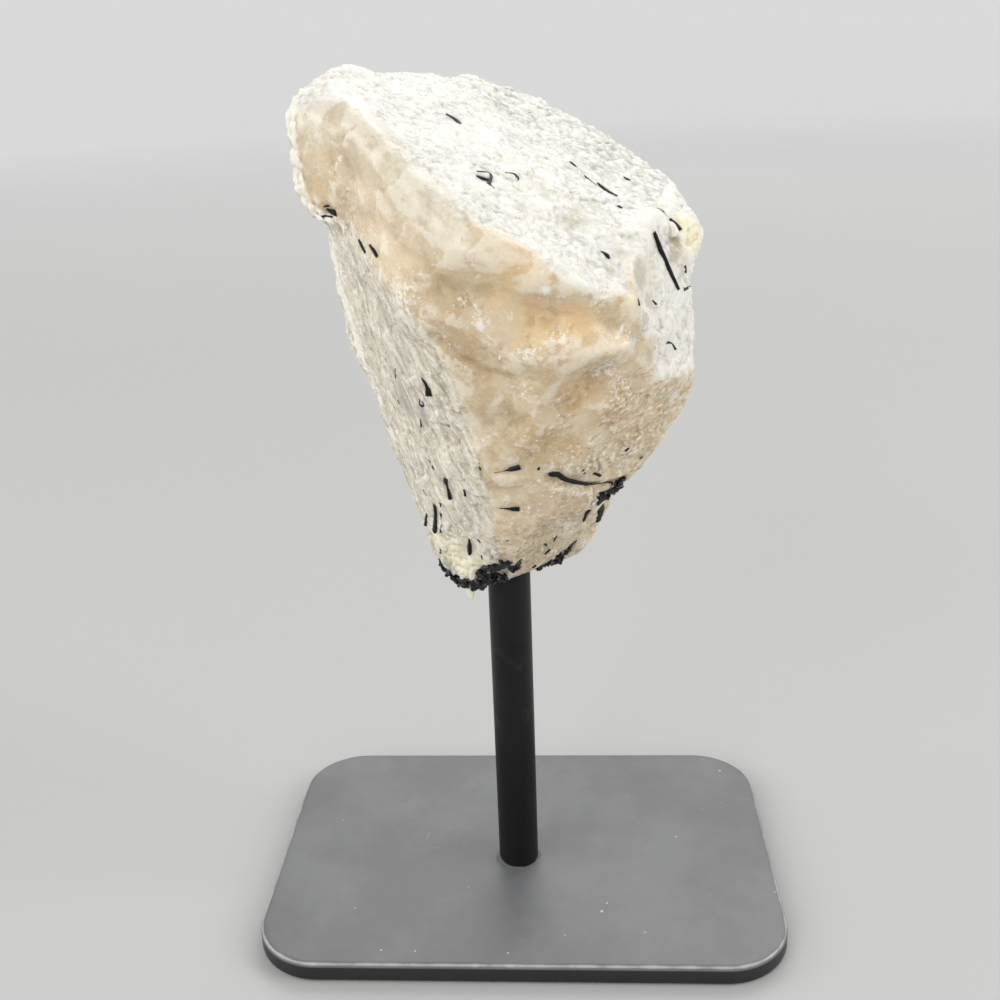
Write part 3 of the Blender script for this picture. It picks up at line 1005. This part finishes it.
def buildSplinters(stone):
    material = makePlainMaterial("whiteSplinter", splinterLook)
    mesh = stone.data.copy()
    points = pointsOf(mesh)
    read = {}
    for name in ("chips", "lowRight", "frontFace", "tipZone", "fineCrest"):
        values = np.empty(len(points), dtype=np.float32)
        mesh.attributes[name].data.foreach_get("value", values)
        read[name] = values
    weight = read["chips"] + 0.12 * read["lowRight"] + 0.06 * read["frontFace"] + 0.3 * read["tipZone"]
    weight = weight * ramp(read["fineCrest"], -0.4, 0.4)
    storeWeights(mesh, {"splinters": weight})
    mesh = grown(mesh, makeSplinterTree(splinterSizes, splinterShape, material), splinterSizes)
    addPiece("quartzSplinters", mesh, material, "quartz", smooth=False)
    print("splinters:", len(mesh.polygons), "faces")


# black tourmaline

crystalSizes = {
    "Sides": 30,
    "Rings": 26,
    "Stripes": 0.07,
    "Unevenness": 0.05,
    "Lump Size": 0.7,
}

# every path: x, y, z, radius; the points are moved onto the stone's skin
crystalPaths = {
    "needleRight": ("tourmaline_needle_right", [
        (17.8, -12.0, 100.1, 0.27), (19.5, -11.6, 96.6, 0.31), (21.1, -10.6, 93.1, 0.24)]),
    "needleHooked": ("tourmaline_needle_hooked", [
        (5.5, -17.6, 72.7, 0.44), (5.9, -17.4, 72.4, 0.58), (6.5, -17.1, 71.8, 0.46),
        (7.4, -16.4, 71.0, 0.38), (8.6, -15.3, 70.3, 0.38), (9.8, -14.3, 69.8, 0.30),
        (10.4, -13.8, 69.7, 0.12), (11.6, -12.8, 69.6, 0.08)]),
    "bladeFrontUpper": ("tourmaline_blade_front_upper", [
        (-1.2, -17.5, 73.3, 0.06), (0.2, -17.9, 73.5, 0.14), (0.7, -18.0, 73.6, 0.40),
        (1.9, -18.2, 74.0, 0.54)]),
    "bladeFrontLow": ("tourmaline_blade_front_low", [
        (-1.0, -15.3, 67.8, 0.06), (0.1, -15.4, 67.4, 0.20), (0.8, -15.4, 67.2, 0.42),
        (1.6, -15.4, 67.1, 0.40)]),
    "bladeLeftUpper": ("tourmaline_blade_left_upper", [
        (-7.4, -14.1, 71.0, 0.34), (-7.7, -13.6, 70.0, 0.40), (-7.6, -13.3, 69.2, 0.20),
        (-7.3, -12.6, 67.6, 0.46)]),
    "bladeLeftLow": ("tourmaline_blade_left_low", [
        (-9.8, -10.1, 65.6, 0.30), (-10.1, -8.9, 63.2, 0.46), (-10.3, -7.6, 60.8, 0.52)]),
    "bladeTip": ("tourmaline_blade_tip", [
        (-5.2, -11.3, 61.3, 0.16), (-5.4, -10.6, 59.8, 0.46), (-5.6, -10.0, 58.3, 0.34)]),
    "stubLeft": ("tourmaline_stub_left", [
        (-9.5, -18.7, 84.8, 0.14), (-9.2, -18.6, 83.6, 0.36), (-8.9, -18.5, 82.8, 0.60)]),
    "stubLobe": ("tourmaline_stub_lobe", [
        (-20.0, -11.6, 103.9, 0.20), (-19.5, -12.1, 103.6, 0.40), (-18.8, -12.7, 103.5, 0.52)]),
    "spindleTop": ("tourmaline_spindle_top", [
        (11.7, -6.3, 105.3, 0.14), (13.0, -7.5, 104.4, 0.30), (13.9, -8.4, 103.8, 0.22)]),
    "bladeTop": ("tourmaline_blade_top", [
        (-6.3, -6.1, 113.3, 0.16), (-5.3, -6.2, 113.0, 0.22), (-4.7, -6.6, 112.6, 0.30),
        (-4.5, -7.3, 112.2, 0.22)]),
    "stubTop": ("tourmaline_stub_top", [
        (-2.0, -17.1, 107.6, 0.16), (-1.2, -17.0, 107.4, 0.30), (-0.4, -16.9, 107.1, 0.24)]),
    "stubHorn": ("tourmaline_stub_horn", [
        (20.4, -7.1, 101.0, 0.24), (21.0, -7.3, 100.3, 0.46), (21.5, -7.5, 99.5, 0.44)]),
}

speckPaths = [
    [(-20.3, -11.3, 104.4, 0.12), (-19.9, -11.7, 104.5, 0.20), (-19.4, -12.2, 104.6, 0.12)],
    [(-20.6, -11.0, 103.2, 0.14), (-20.0, -11.5, 103.0, 0.20), (-19.4, -12.0, 102.9, 0.14)],
    [(-15.9, -15.7, 100.8, 0.22), (-15.3, -16.7, 100.1, 0.34), (-14.9, -17.5, 99.6, 0.24)],
    [(-14.2, -18.4, 100.6, 0.22), (-13.6, -19.4, 100.1, 0.34), (-13.2, -20.0, 99.5, 0.24)],
    [(-13.0, -13.7, 85.0, 0.12), (-13.0, -13.1, 83.7, 0.18)],
    [(-10.0, -16.6, 81.8, 0.12), (-10.2, -16.2, 81.2, 0.12), (-10.0, -16.2, 80.8, 0.12),
     (-9.5, -16.8, 81.2, 0.12), (-9.6, -17.0, 81.8, 0.12)],
    [(-13.2, -11.1, 80.3, 0.14), (-13.0, -11.1, 79.7, 0.10)],
    [(-10.1, -14.9, 78.8, 0.14), (-10.3, -14.2, 77.6, 0.20)],
    [(-6.6, -17.6, 78.9, 0.16), (-6.3, -17.6, 78.7, 0.12)],
    [(-9.4, -13.6, 73.2, 0.16), (-9.3, -13.6, 72.8, 0.12)],
    [(-9.0, -13.7, 72.6, 0.20), (-8.9, -13.6, 71.9, 0.14)],
    [(-11.0, -9.8, 67.7, 0.16), (-10.7, -9.9, 66.8, 0.10)],
    [(-5.1, -15.0, 69.9, 0.12), (-4.9, -14.8, 68.9, 0.22)],
    [(-11.1, -7.9, 63.5, 0.15), (-11.6, -5.9, 61.1, 0.38)],
    [(-8.9, -10.8, 64.7, 0.30), (-8.8, -10.4, 63.7, 0.15)],
    [(-8.9, -10.0, 62.8, 0.15), (-9.1, -9.2, 61.5, 0.32)],
    [(-8.8, -11.4, 66.4, 0.20), (-8.8, -11.1, 65.7, 0.12)],
    [(-4.0, -12.3, 61.6, 0.30), (-3.7, -12.1, 61.0, 0.12)],
    [(-9.6, -7.3, 58.3, 0.16), (-9.7, -6.4, 57.2, 0.30)],
    [(-9.3, -6.0, 55.7, 0.30), (-9.1, -5.8, 54.8, 0.20)],
    [(-3.9, -11.0, 58.6, 0.20), (-3.8, -10.6, 57.9, 0.10)],
    [(-2.7, -17.7, 74.4, 0.12), (-2.6, -17.5, 73.6, 0.22)],
    [(4.1, -18.1, 73.3, 0.20), (4.3, -18.3, 73.7, 0.14)],
    [(9.4, -16.2, 72.5, 0.28), (9.5, -16.0, 72.3, 0.20)],
    [(9.6, -15.8, 72.0, 0.20), (9.8, -15.6, 71.7, 0.12)],
    [(10.9, -14.8, 71.4, 0.14), (11.7, -13.8, 70.7, 0.30)],
    [(9.9, -13.8, 69.3, 0.16), (11.7, -12.5, 69.0, 0.12), (13.5, -11.5, 68.8, 0.07)],
    [(-0.3, -13.4, 62.6, 0.17), (-0.1, -13.5, 62.7, 0.12)],
    [(14.9, -13.8, 73.8, 0.20), (15.4, -13.7, 74.1, 0.25)],
    [(16.8, -11.3, 71.8, 0.20), (17.2, -11.2, 72.1, 0.15)],
    [(12.5, -6.0, 64.0, 0.40), (12.4, -3.0, 62.0, 0.65), (12.2, -1.6, 61.2, 0.70),
     (11.8, -0.1, 58.8, 0.45)],
    [(10.5, -11.1, 65.1, 0.30), (10.1, -10.4, 64.2, 0.46), (9.7, -9.2, 62.7, 0.25)],
    [(6.0, -9.9, 60.9, 0.22), (5.7, -9.4, 59.9, 0.12)],
    [(4.5, -9.9, 59.8, 0.22), (4.8, -9.3, 59.2, 0.14)],
    [(5.2, -8.1, 58.1, 0.30), (4.5, -7.8, 57.3, 0.22)],
    [(3.2, -6.9, 55.3, 0.25), (2.7, -6.9, 54.9, 0.30)],
    [(-2.2, -16.2, 107.6, 0.12), (-1.6, -16.1, 107.9, 0.12), (-0.7, -15.9, 108.0, 0.12)],
    [(-0.7, -15.9, 108.0, 0.10), (-0.4, -16.1, 107.3, 0.16), (-0.5, -18.0, 107.0, 0.24)],
    [(-0.5, -18.0, 107.0, 0.20), (0.2, -18.4, 106.5, 0.08)],
    [(1.2, -14.7, 107.7, 0.08), (1.9, -14.2, 107.6, 0.12), (2.4, -14.2, 107.3, 0.22),
     (2.7, -14.8, 106.9, 0.28)],
    [(8.4, -5.1, 107.7, 0.14), (8.8, -5.2, 107.5, 0.22), (9.3, -5.6, 107.1, 0.10)],
    [(9.3, -6.2, 106.9, 0.05), (10.4, -6.6, 106.3, 0.08), (11.7, -7.6, 105.3, 0.07)],
    [(14.0, -10.7, 103.1, 0.16), (14.4, -10.9, 102.8, 0.18)],
    [(11.7, -19.2, 99.4, 0.08), (12.3, -19.2, 98.8, 0.30), (12.6, -19.4, 98.4, 0.12)],
    [(15.1, -2.6, 105.6, 0.10), (15.8, -3.2, 105.2, 0.16)],
    [(18.7, -7.1, 102.1, 0.10), (19.4, -7.0, 101.7, 0.14), (20.0, -7.4, 101.2, 0.10)],
    [(22.3, -8.2, 95.4, 0.16), (22.5, -7.9, 94.5, 0.14)],
    [(21.9, -9.4, 93.1, 0.10), (22.1, -9.5, 92.8, 0.20), (22.9, -7.1, 92.7, 0.12)],
    [(14.9, -20.8, 94.1, 0.14), (15.2, -20.5, 93.5, 0.28)],
    [(17.6, -16.7, 93.2, 0.10), (18.0, -16.2, 92.6, 0.26)],
    [(19.9, -14.8, 87.6, 0.22), (20.6, -13.9, 87.4, 0.14), (21.2, -13.1, 86.5, 0.28)],
    [(-21.0, -10.6, 103.4, 0.26), (-20.4, -10.7, 103.1, 0.30)],
]


def smoothLine(desk, inlet):
    # the path's edges as a smooth curve with an even spacing
    line = desk.add("GeometryNodeMeshToCurve", {}, {"Mesh": inlet["Mesh"]})
    line = desk.add("GeometryNodeCurveSplineType", {"spline_type": "CATMULL_ROM"}, {"Curve": line})
    return desk.add("GeometryNodeResampleCurve", {"mode": "COUNT"}, {"Curve": line, "Count": inlet["Rings"]})


def makeCrystalTree(sizes, material):
    tree, desk, inlet = newTree("tourmalineCrystal", sizes)
    line = smoothLine(desk, inlet)
    ring = desk.add("GeometryNodeCurvePrimitiveCircle", {"mode": "RADIUS"},
                    {"Resolution": inlet["Sides"], "Radius": 1.0})
    turn = desk.add("GeometryNodeSplineParameter")["Factor"] * (2.0 * math.pi)

    def wave(times, shift):
        return desk.add("ShaderNodeMath", {"operation": "COSINE"}, {0: turn * float(times) + shift})

    # a rounded triangle with fine lengthwise stripes, as schorl grows
    girth = 0.92 + 0.13 * wave(3, 0.4) + inlet["Stripes"] * (wave(9, 1.0) + 0.6 * wave(13, 2.0))
    place = desk.add("GeometryNodeInputPosition")
    ring = desk.add("GeometryNodeSetPosition", {}, {
        "Geometry": ring, "Position": vectorStep(desk, "SCALE", place, scale=girth)})
    body = desk.add("GeometryNodeCurveToMesh", {}, {
        "Curve": line, "Profile Curve": ring, "Scale": readWeight(desk, "thick"), "Fill Caps": True})
    rough = desk.add("ShaderNodeTexNoise", {}, {
        "Vector": place, "Scale": 1.0 / (inlet["Lump Size"] * mm), "Detail": 3.0})["Color"]
    rough = vectorStep(desk, "SUBTRACT", rough, (0.5, 0.5, 0.5))
    offset = vectorStep(desk, "SCALE", rough, scale=inlet["Unevenness"] * 2.0 * mm)
    body = desk.add("GeometryNodeSetPosition", {}, {"Geometry": body, "Offset": offset})
    endTree(desk, body, material)
    return tree


# height of the middle line over the skin, in radii; most of a crystal is under the skin
crystalRise = {"needleRight": 0.30, "needleHooked": 0.0, "others": -0.35}
crustRise = -0.30


def snapped(skin, path, rise):
    # moves a path onto the stone, its middle line rise radii above the skin
    moved = []
    for x, y, z, radius in path:
        spot, facing, _, _ = skin.find_nearest(Vector((x, y, z)) * mm)
        moved.append((spot + facing * (rise * radius * mm), radius * mm))
    return moved


def threadMesh(paths):
    points, edges, thick = [], [], []
    for path in paths:
        first = len(points)
        points += [tuple(spot) for spot, _ in path]
        thick += [radius for _, radius in path]
        edges += [(first + step, first + step + 1) for step in range(len(path) - 1)]
    mesh = meshOf(points, [], edges)
    storeWeights(mesh, {"thick": np.array(thick)})
    return mesh


def buildCrystals(skin, material):
    tree = makeCrystalTree(crystalSizes, material)
    for name, (node, path) in crystalPaths.items():
        rise = crystalRise.get(name, crystalRise["others"])
        mesh = grown(threadMesh([snapped(skin, path, rise)]), tree, crystalSizes)
        addPiece(name, mesh, material, "tourmaline", node)
    small = dict(crystalSizes, Sides=12, Rings=7, Unevenness=0.06)
    mesh = grown(threadMesh([snapped(skin, path, crystalRise["others"]) for path in speckPaths]), tree, small)
    addPiece("tourmalineSpecks", mesh, material, "tourmaline")
    print("tourmaline crystals:", len(crystalPaths), "and", len(speckPaths), "specks")


# the black crusts: uneven ropes of lumps overgrown with short prisms

crustSizes = {
    "Density": 3.2,
    "Prism Length": 0.62,
    "Prism Width": 0.24,
    "Lumpiness": 0.55,
    "Rings": 60,
    "Seed": 3,
}

prismLean = 1.4                        # how far the prisms lean off the skin at most, in radians

crustPaths = {
    "crustTip": ("tourmaline_crust_tip", [
        [(-9.6, -5.9, 55.5, 0.26), (-9.4, -5.7, 54.0, 0.34), (-8.9, -6.8, 52.6, 0.42),
         (-8.0, -7.8, 51.8, 0.55), (-6.8, -8.5, 51.2, 0.72), (-5.4, -8.8, 51.2, 0.90),
         (-4.1, -8.9, 51.7, 1.05), (-3.1, -9.3, 53.2, 1.05), (-2.4, -10.0, 54.6, 1.00),
         (-1.6, -10.4, 55.8, 0.85), (-0.7, -10.6, 57.2, 0.50), (-0.7, -11.2, 58.4, 0.42)],
        [(-3.6, -9.8, 56.6, 0.25), (-3.0, -9.8, 56.0, 0.50), (-2.2, -9.6, 55.4, 0.70)],
        [(-0.4, -9.4, 56.2, 0.55), (0.4, -9.2, 56.5, 0.42), (1.3, -9.0, 57.3, 0.22)],
        [(-4.0, -7.6, 52.8, 0.50), (-2.2, -7.6, 53.4, 0.90), (-0.8, -7.2, 53.9, 0.55)]]),
    "crustHeel": ("tourmaline_crust_heel", [
        [(8.4, -2.3, 57.0, 0.35), (7.6, -1.7, 55.5, 0.80), (6.6, -1.6, 54.2, 1.00),
         (5.6, -1.9, 53.6, 1.05), (4.4, -2.8, 53.3, 0.75), (3.2, -4.1, 53.6, 0.35)]]),
    "crustLedge": ("tourmaline_crust_ledge", [
        [(14.8, -11.0, 69.2, 0.42), (13.9, -10.4, 67.9, 0.70), (13.0, -10.4, 66.9, 0.85),
         (12.0, -10.7, 66.6, 0.70), (11.3, -10.9, 65.9, 0.36)]]),
}


def makeCrustTree(sizes, material):
    tree, desk, inlet = newTree("tourmalineCrust", sizes)
    line = smoothLine(desk, inlet)
    ring = desk.add("GeometryNodeCurvePrimitiveCircle", {"mode": "RADIUS"}, {"Resolution": 20, "Radius": 1.0})
    rope = desk.add("GeometryNodeCurveToMesh", {}, {
        "Curve": line, "Profile Curve": ring, "Scale": readWeight(desk, "thick"), "Fill Caps": True})
    place = desk.add("GeometryNodeInputPosition")
    normal = desk.add("GeometryNodeInputNormal")
    height = flakeHeight(desk, warped(desk, place, 1.0, 0.3), 0.9)
    lumps = desk.add("GeometryNodeSetPosition", {}, {
        "Geometry": rope,
        "Offset": vectorStep(desk, "SCALE", normal, scale=height * inlet["Lumpiness"] * mm)})
    spots, turn = scattered(desk, lumps, inlet["Density"], inlet["Seed"], prismLean)
    prism = desk.add("GeometryNodeMeshCylinder", {}, {
        "Vertices": 6, "Side Segments": 1, "Fill Segments": 1, "Radius": 0.5 * mm, "Depth": 1.0 * mm})
    long = desk.add("FunctionNodeRandomValue", {"data_type": "FLOAT"}, {
        "Min": 0.4, "Max": 1.15, "Seed": inlet["Seed"]})
    size = desk.add("ShaderNodeCombineXYZ", {}, {
        0: long * inlet["Prism Width"] * 2.0, 1: inlet["Prism Width"] * 2.0, 2: long * inlet["Prism Length"]})
    prisms = desk.add("GeometryNodeInstanceOnPoints", {}, {
        "Points": spots, "Instance": prism, "Rotation": turn, "Scale": size})
    joined = desk.add("GeometryNodeJoinGeometry", {}, {"Geometry": lumps})
    desk.tree.links.new(prisms.socket, joined.socket.node.inputs[0])
    endTree(desk, joined, material)
    return tree


def buildCrusts(skin, material):
    tree = makeCrustTree(crustSizes, material)
    for name, (node, paths) in crustPaths.items():
        mesh = grown(threadMesh([snapped(skin, path, crustRise) for path in paths]), tree, crustSizes)
        addPiece(name, mesh, material, "tourmaline", node, smooth=False)
    print("crusts:", len(crustPaths))


# a pale drop that hangs below the crust
dropPath = [(-6.0, -7.4, 53.8, 0.45), (-5.9, -7.9, 52.7, 0.52), (-5.8, -8.2, 51.8, 0.58),
            (-5.7, -8.4, 51.2, 0.42), (-5.65, -8.5, 50.9, 0.12)]


def buildDrop():
    material = makePlainMaterial("paleDrop", dropLook)
    path = [(Vector((x, y, z)) * mm, radius * mm) for x, y, z, radius in dropPath]
    sizes = dict(crystalSizes, Sides=16, Rings=14, Stripes=0.0)
    mesh = grown(threadMesh([path]), makeCrystalTree(sizes, material), sizes)
    addPiece("quartzDrop", mesh, material, "quartz")


# the stand

platePart = {
    "width": 76.2,
    "depth": 50.8,
    "thickness": 3.2,
    "cornerRadius": 9.5,
    "edgeRadius": 0.7,
    "cornerSteps": 24,
    "edgeSteps": 6,
    "sideSteps": 60,
    "undersideInsets": (12.0, 3.0),
    "topInsets": (1.2, 2.5, 6.0, 12.0, 18.0, 24.0),
    "dings": 0.05,
}

postPart = {
    "centre": (-0.8, -2.0),
    "radius": 3.0,
    "bottom": 1.2,
    "top": 62.0,
    "edge": 0.35,
    "segments": 96,
    "rings": 40,
}


def roundedOutline(part, inset):
    # points of the plate's outline and their outward directions
    halfWidth = part["width"] / 2
    halfDepth = part["depth"] / 2
    radius = part["cornerRadius"]
    outline = []
    corners = [(1, 1, 0), (-1, 1, 90), (-1, -1, 180), (1, -1, 270)]
    for index, (sx, sy, start) in enumerate(corners):
        cx, cy = sx * (halfWidth - radius), sy * (halfDepth - radius)
        for step in range(part["cornerSteps"] + 1):
            angle = math.radians(start + 90 * step / part["cornerSteps"])
            outline.append((cx + radius * math.cos(angle), cy + radius * math.sin(angle),
                            math.cos(angle), math.sin(angle)))
        nextX, nextY, nextStart = corners[(index + 1) % 4]
        angle = math.radians(nextStart)
        startPoint = outline[-1]
        endX = nextX * (halfWidth - radius) + radius * math.cos(angle)
        endY = nextY * (halfDepth - radius) + radius * math.sin(angle)
        for step in range(1, part["sideSteps"]):
            share = step / part["sideSteps"]
            outline.append((startPoint[0] + (endX - startPoint[0]) * share,
                            startPoint[1] + (endY - startPoint[1]) * share, startPoint[2], startPoint[3]))
    return [(x - dx * inset, y - dy * inset, dx, dy) for x, y, dx, dy in outline]


def buildPlate():
    part = platePart
    edge = part["edgeRadius"]
    levels = []                        # height, inset, how worn
    for step in range(part["edgeSteps"] + 1):
        angle = math.radians(90 * step / part["edgeSteps"])
        levels.append((edge - edge * math.cos(angle), edge - edge * math.sin(angle), 0.0))
    for step in range(part["edgeSteps"] + 1):
        angle = math.radians(90 * step / part["edgeSteps"])
        wear = 1.0 - abs(step / part["edgeSteps"] - 0.55) * 1.8
        height = part["thickness"] - edge + edge * math.sin(angle)
        levels.append((height, edge - edge * math.cos(angle), wear))
    levels += [(part["thickness"], inset, 0.0) for inset in part["topInsets"]]
    levels = [(0.0, inset, 0.0) for inset in part["undersideInsets"]] + levels
    points, wear, under = [], [], []
    count = len(roundedOutline(part, 0.0))
    for height, inset, worn in levels:
        shrink = max(inset - part["cornerRadius"], 0.0)
        for x, y, dx, dy in roundedOutline(part, min(inset, part["cornerRadius"])):
            x -= math.copysign(min(abs(x), shrink), x)
            y -= math.copysign(min(abs(y), shrink), y)
            ding = part["dings"] * worn * max(noise.noise(Vector((x, y, height)) * 0.35) - 0.15, 0.0)
            points.append(((x - dx * ding) * mm, (y - dy * ding) * mm, (height - ding) * mm))
            wear.append(worn)
            under.append(1.0 if height < part["thickness"] - 0.9 * edge else 0.0)
    work = bmesh.new()
    mesh = meshOf(points, tubeFaces(len(levels), count))
    storeWeights(mesh, {"rim": np.array(wear), "underside": np.array(under)})
    work.from_mesh(mesh)
    bmesh.ops.remove_doubles(work, verts=work.verts, dist=0.001 * mm)
    bmesh.ops.dissolve_degenerate(work, edges=work.edges, dist=0.001 * mm)
    bmesh.ops.recalc_face_normals(work, faces=work.faces)
    work.to_mesh(mesh)
    work.free()
    material = makePaintMaterial("platePaint", plateLook, True)
    addPiece("standPlate", mesh, material, "black_metal", "base_plate")


def turned(profile, centre, segments):
    # a solid of revolution round a vertical axis; profile runs from the lower middle to the upper middle
    points = []
    for radius, height in profile:
        for step in range(segments):
            angle = 2 * math.pi * step / segments
            points.append(((centre[0] + radius * math.cos(angle)) * mm,
                           (centre[1] + radius * math.sin(angle)) * mm, height * mm))
    return meshOf(points, tubeFaces(len(profile), segments))


def buildPost():
    part = postPart
    radius, edge = part["radius"], part["edge"]
    profile = [(radius - edge, part["bottom"]), (radius, part["bottom"] + edge)]
    span = part["top"] - part["bottom"] - 2 * edge
    for step in range(1, part["rings"]):
        profile.append((radius, part["bottom"] + edge + span * step / part["rings"]))
    profile += [(radius, part["top"] - edge), (radius - edge, part["top"])]
    mesh = turned(profile, part["centre"], part["segments"])
    material = makePaintMaterial("postPaint", postLook, False)
    addPiece("standPost", mesh, material, "black_metal", "post")
    print("stand done")


# beads of glue at the post's foot: angle in degrees, height, radius of the bead
glueBeads = [
    [(148, 0.0, 0.06), (165, 0.1, 0.20), (183, 0.2, 0.40), (200, 0.3, 0.46), (216, 0.2, 0.34),
     (232, 0.0, 0.18), (250, 0.0, 0.12), (268, 0.0, 0.09), (285, 0.0, 0.06)],
    [(-32, 0.0, 0.06), (-16, 0.1, 0.20), (-2, 0.2, 0.32), (12, 0.1, 0.22), (26, 0.0, 0.06)],
]


def buildGlue():
    material = makePlainMaterial("driedGlue", glueLook)
    paths = []
    for bead in glueBeads:
        path = []
        for degrees, lift, radius in bead:
            angle = math.radians(degrees)
            reach = postPart["radius"] + 0.25 * radius
            spot = Vector((postPart["centre"][0] + reach * math.cos(angle),
                           postPart["centre"][1] + reach * math.sin(angle),
                           platePart["thickness"] + lift * radius))
            path.append((spot * mm, radius * mm))
        paths.append(path)
    tree = makeCrystalTree(crystalSizes, material)
    mesh = grown(threadMesh(paths), tree, dict(crystalSizes, Sides=16, Rings=60, Stripes=0.0))
    addPiece("glueBead", mesh, material, "black_metal")


# studio

studio = {
    "cameraPlace": (0.0077, -0.1485, 0.1212),
    "pitch": 21.65,
    "yaw": -3.66,
    "roll": -2.18,
    "lens": 41.4,
    "sensor": 36.0,
    "clipStart": 0.005,
    "sky": (0.96, 0.98, 1.0),
    "skyStrength": 0.55,
    "floor": (0.52, 0.52, 0.515),
    "wall": (0.55, 0.55, 0.545),
    "wallGlow": 0.36,
    "floorRadius": 3.2,
    "wallCurve": 1.6,
    "wallTop": 3.0,
    "curveSteps": 12,
    "floorSegments": 96,
    "floorDrop": -0.00005,
    # name: place, aim, width, depth, watts, colour
    "lamps": {
        "backSoftbox": ((0.15, 0.75, 0.90), (0.0, 0.0, 0.07), 1.10, 0.55, 5.1, (1.0, 0.99, 0.97)),
        "frontSoftbox": ((-0.42, -0.62, 0.42), (0.0, 0.0, 0.08), 0.50, 0.40, 2.45, (1.0, 0.98, 0.95)),
        "leftSoftbox": ((-0.80, -0.05, 0.36), (0.0, 0.0, 0.08), 0.50, 0.40, 1.4, (1.0, 0.99, 0.97)),
        "rightSoftbox": ((0.55, -0.10, 0.35), (0.0, -0.005, 0.09), 0.30, 0.35, 1.40, (1.0, 0.99, 0.97)),
    },
}


def buildStudio():
    pitch, yaw, roll = (math.radians(studio[key]) for key in ("pitch", "yaw", "roll"))
    forward = Vector((math.sin(yaw) * math.cos(pitch), math.cos(yaw) * math.cos(pitch), -math.sin(pitch)))
    right = Vector((math.cos(yaw), -math.sin(yaw), 0.0))
    up = right.cross(forward)
    tiltedRight = right * math.cos(roll) + up * math.sin(roll)
    tiltedUp = -right * math.sin(roll) + up * math.cos(roll)
    lens = bpy.data.cameras.new("camera")
    lens.lens = studio["lens"]
    lens.sensor_width = studio["sensor"]
    lens.clip_start = studio["clipStart"]
    camera = bpy.data.objects.new("camera", lens)
    scene.collection.objects.link(camera)
    turn = Matrix((tiltedRight, tiltedUp, -forward)).transposed().to_4x4()
    camera.matrix_world = Matrix.Translation(studio["cameraPlace"]) @ turn
    scene.camera = camera
    for name, (place, aim, width, depth, watts, colour) in studio["lamps"].items():
        light = bpy.data.lights.new(name, "AREA")
        light.shape = "RECTANGLE"
        light.size = width
        light.size_y = depth
        light.energy = watts
        light.color = colour
        lamp = bpy.data.objects.new(name, light)
        lamp.location = place
        lamp.rotation_euler = (Vector(aim) - Vector(place)).to_track_quat("-Z", "Y").to_euler()
        lamp.visible_camera = False
        scene.collection.objects.link(lamp)
    world = bpy.data.worlds.new("sky")
    world.use_nodes = True
    world.node_tree.nodes.clear()
    desk = Desk(world.node_tree)
    shine = desk.add("ShaderNodeBackground", {}, {"Color": studio["sky"], "Strength": studio["skyStrength"]})
    desk.add("ShaderNodeOutputWorld", {}, {"Surface": shine})
    scene.world = world
    profile = [(studio["floorRadius"] * share, 0.0) for share in (0.2, 0.5, 1.0)]
    curve = studio["wallCurve"]
    for step in range(1, studio["curveSteps"] + 1):
        angle = math.radians(90 * step / studio["curveSteps"])
        profile.append((studio["floorRadius"] + curve * math.sin(angle), curve * (1 - math.cos(angle))))
    profile.append((profile[-1][0], studio["wallTop"]))
    rim = studio["floorSegments"]
    points = [(0.0, 0.0, studio["floorDrop"])]
    for radius, height in profile:
        for step in range(rim):
            angle = 2 * math.pi * step / rim
            points.append((radius * math.cos(angle), radius * math.sin(angle), height + studio["floorDrop"]))
    faces = [(0, 1 + step, 1 + (step + 1) % rim) for step in range(rim)]
    faces += [(a, d, c, b) for a, b, c, d in bandFaces(len(profile), rim, 1)]
    floorMesh = meshOf(points, faces)
    floorMesh.shade_smooth()
    material, desk, shader, place = newMaterial("paleFloor", {
        "Roughness": 0.9, "Specular IOR Level": 0.0, "Emission Strength": studio["wallGlow"]})
    distance = vectorStep(desk, "LENGTH", place)["Value"]
    far = soften(desk, distance + (cloud(desk, place, 180.0, 2.0) - 0.5) * 0.1, 0.25, 1.9)
    feed(desk, shader, "Base Color", blend(desk, far, studio["floor"], studio["wall"]))
    feed(desk, shader, "Emission Color", blend(desk, far, (0.0, 0.0, 0.0), (1.0, 1.0, 0.99)))
    floorMesh.materials.append(material)
    floor = bpy.data.objects.new("studioFloor", floorMesh)
    scene.collection.objects.link(floor)
    scene.view_settings.view_transform = "Standard"
    print("studio done")


buildStudio()
stone = buildStone()
skin = BVHTree.FromPolygons([tuple(point) for point in pointsOf(stone.data)],
                            [tuple(face.vertices) for face in stone.data.polygons])
buildSplinters(stone)
buildCrystals(skin, makeTourmalineMaterial("blackTourmaline", *tourmalineLook["crystals"]))
buildCrusts(skin, makeTourmalineMaterial("crustTourmaline", *tourmalineLook["crusts"]))
buildDrop()
buildPlate()
buildPost()
buildGlue()
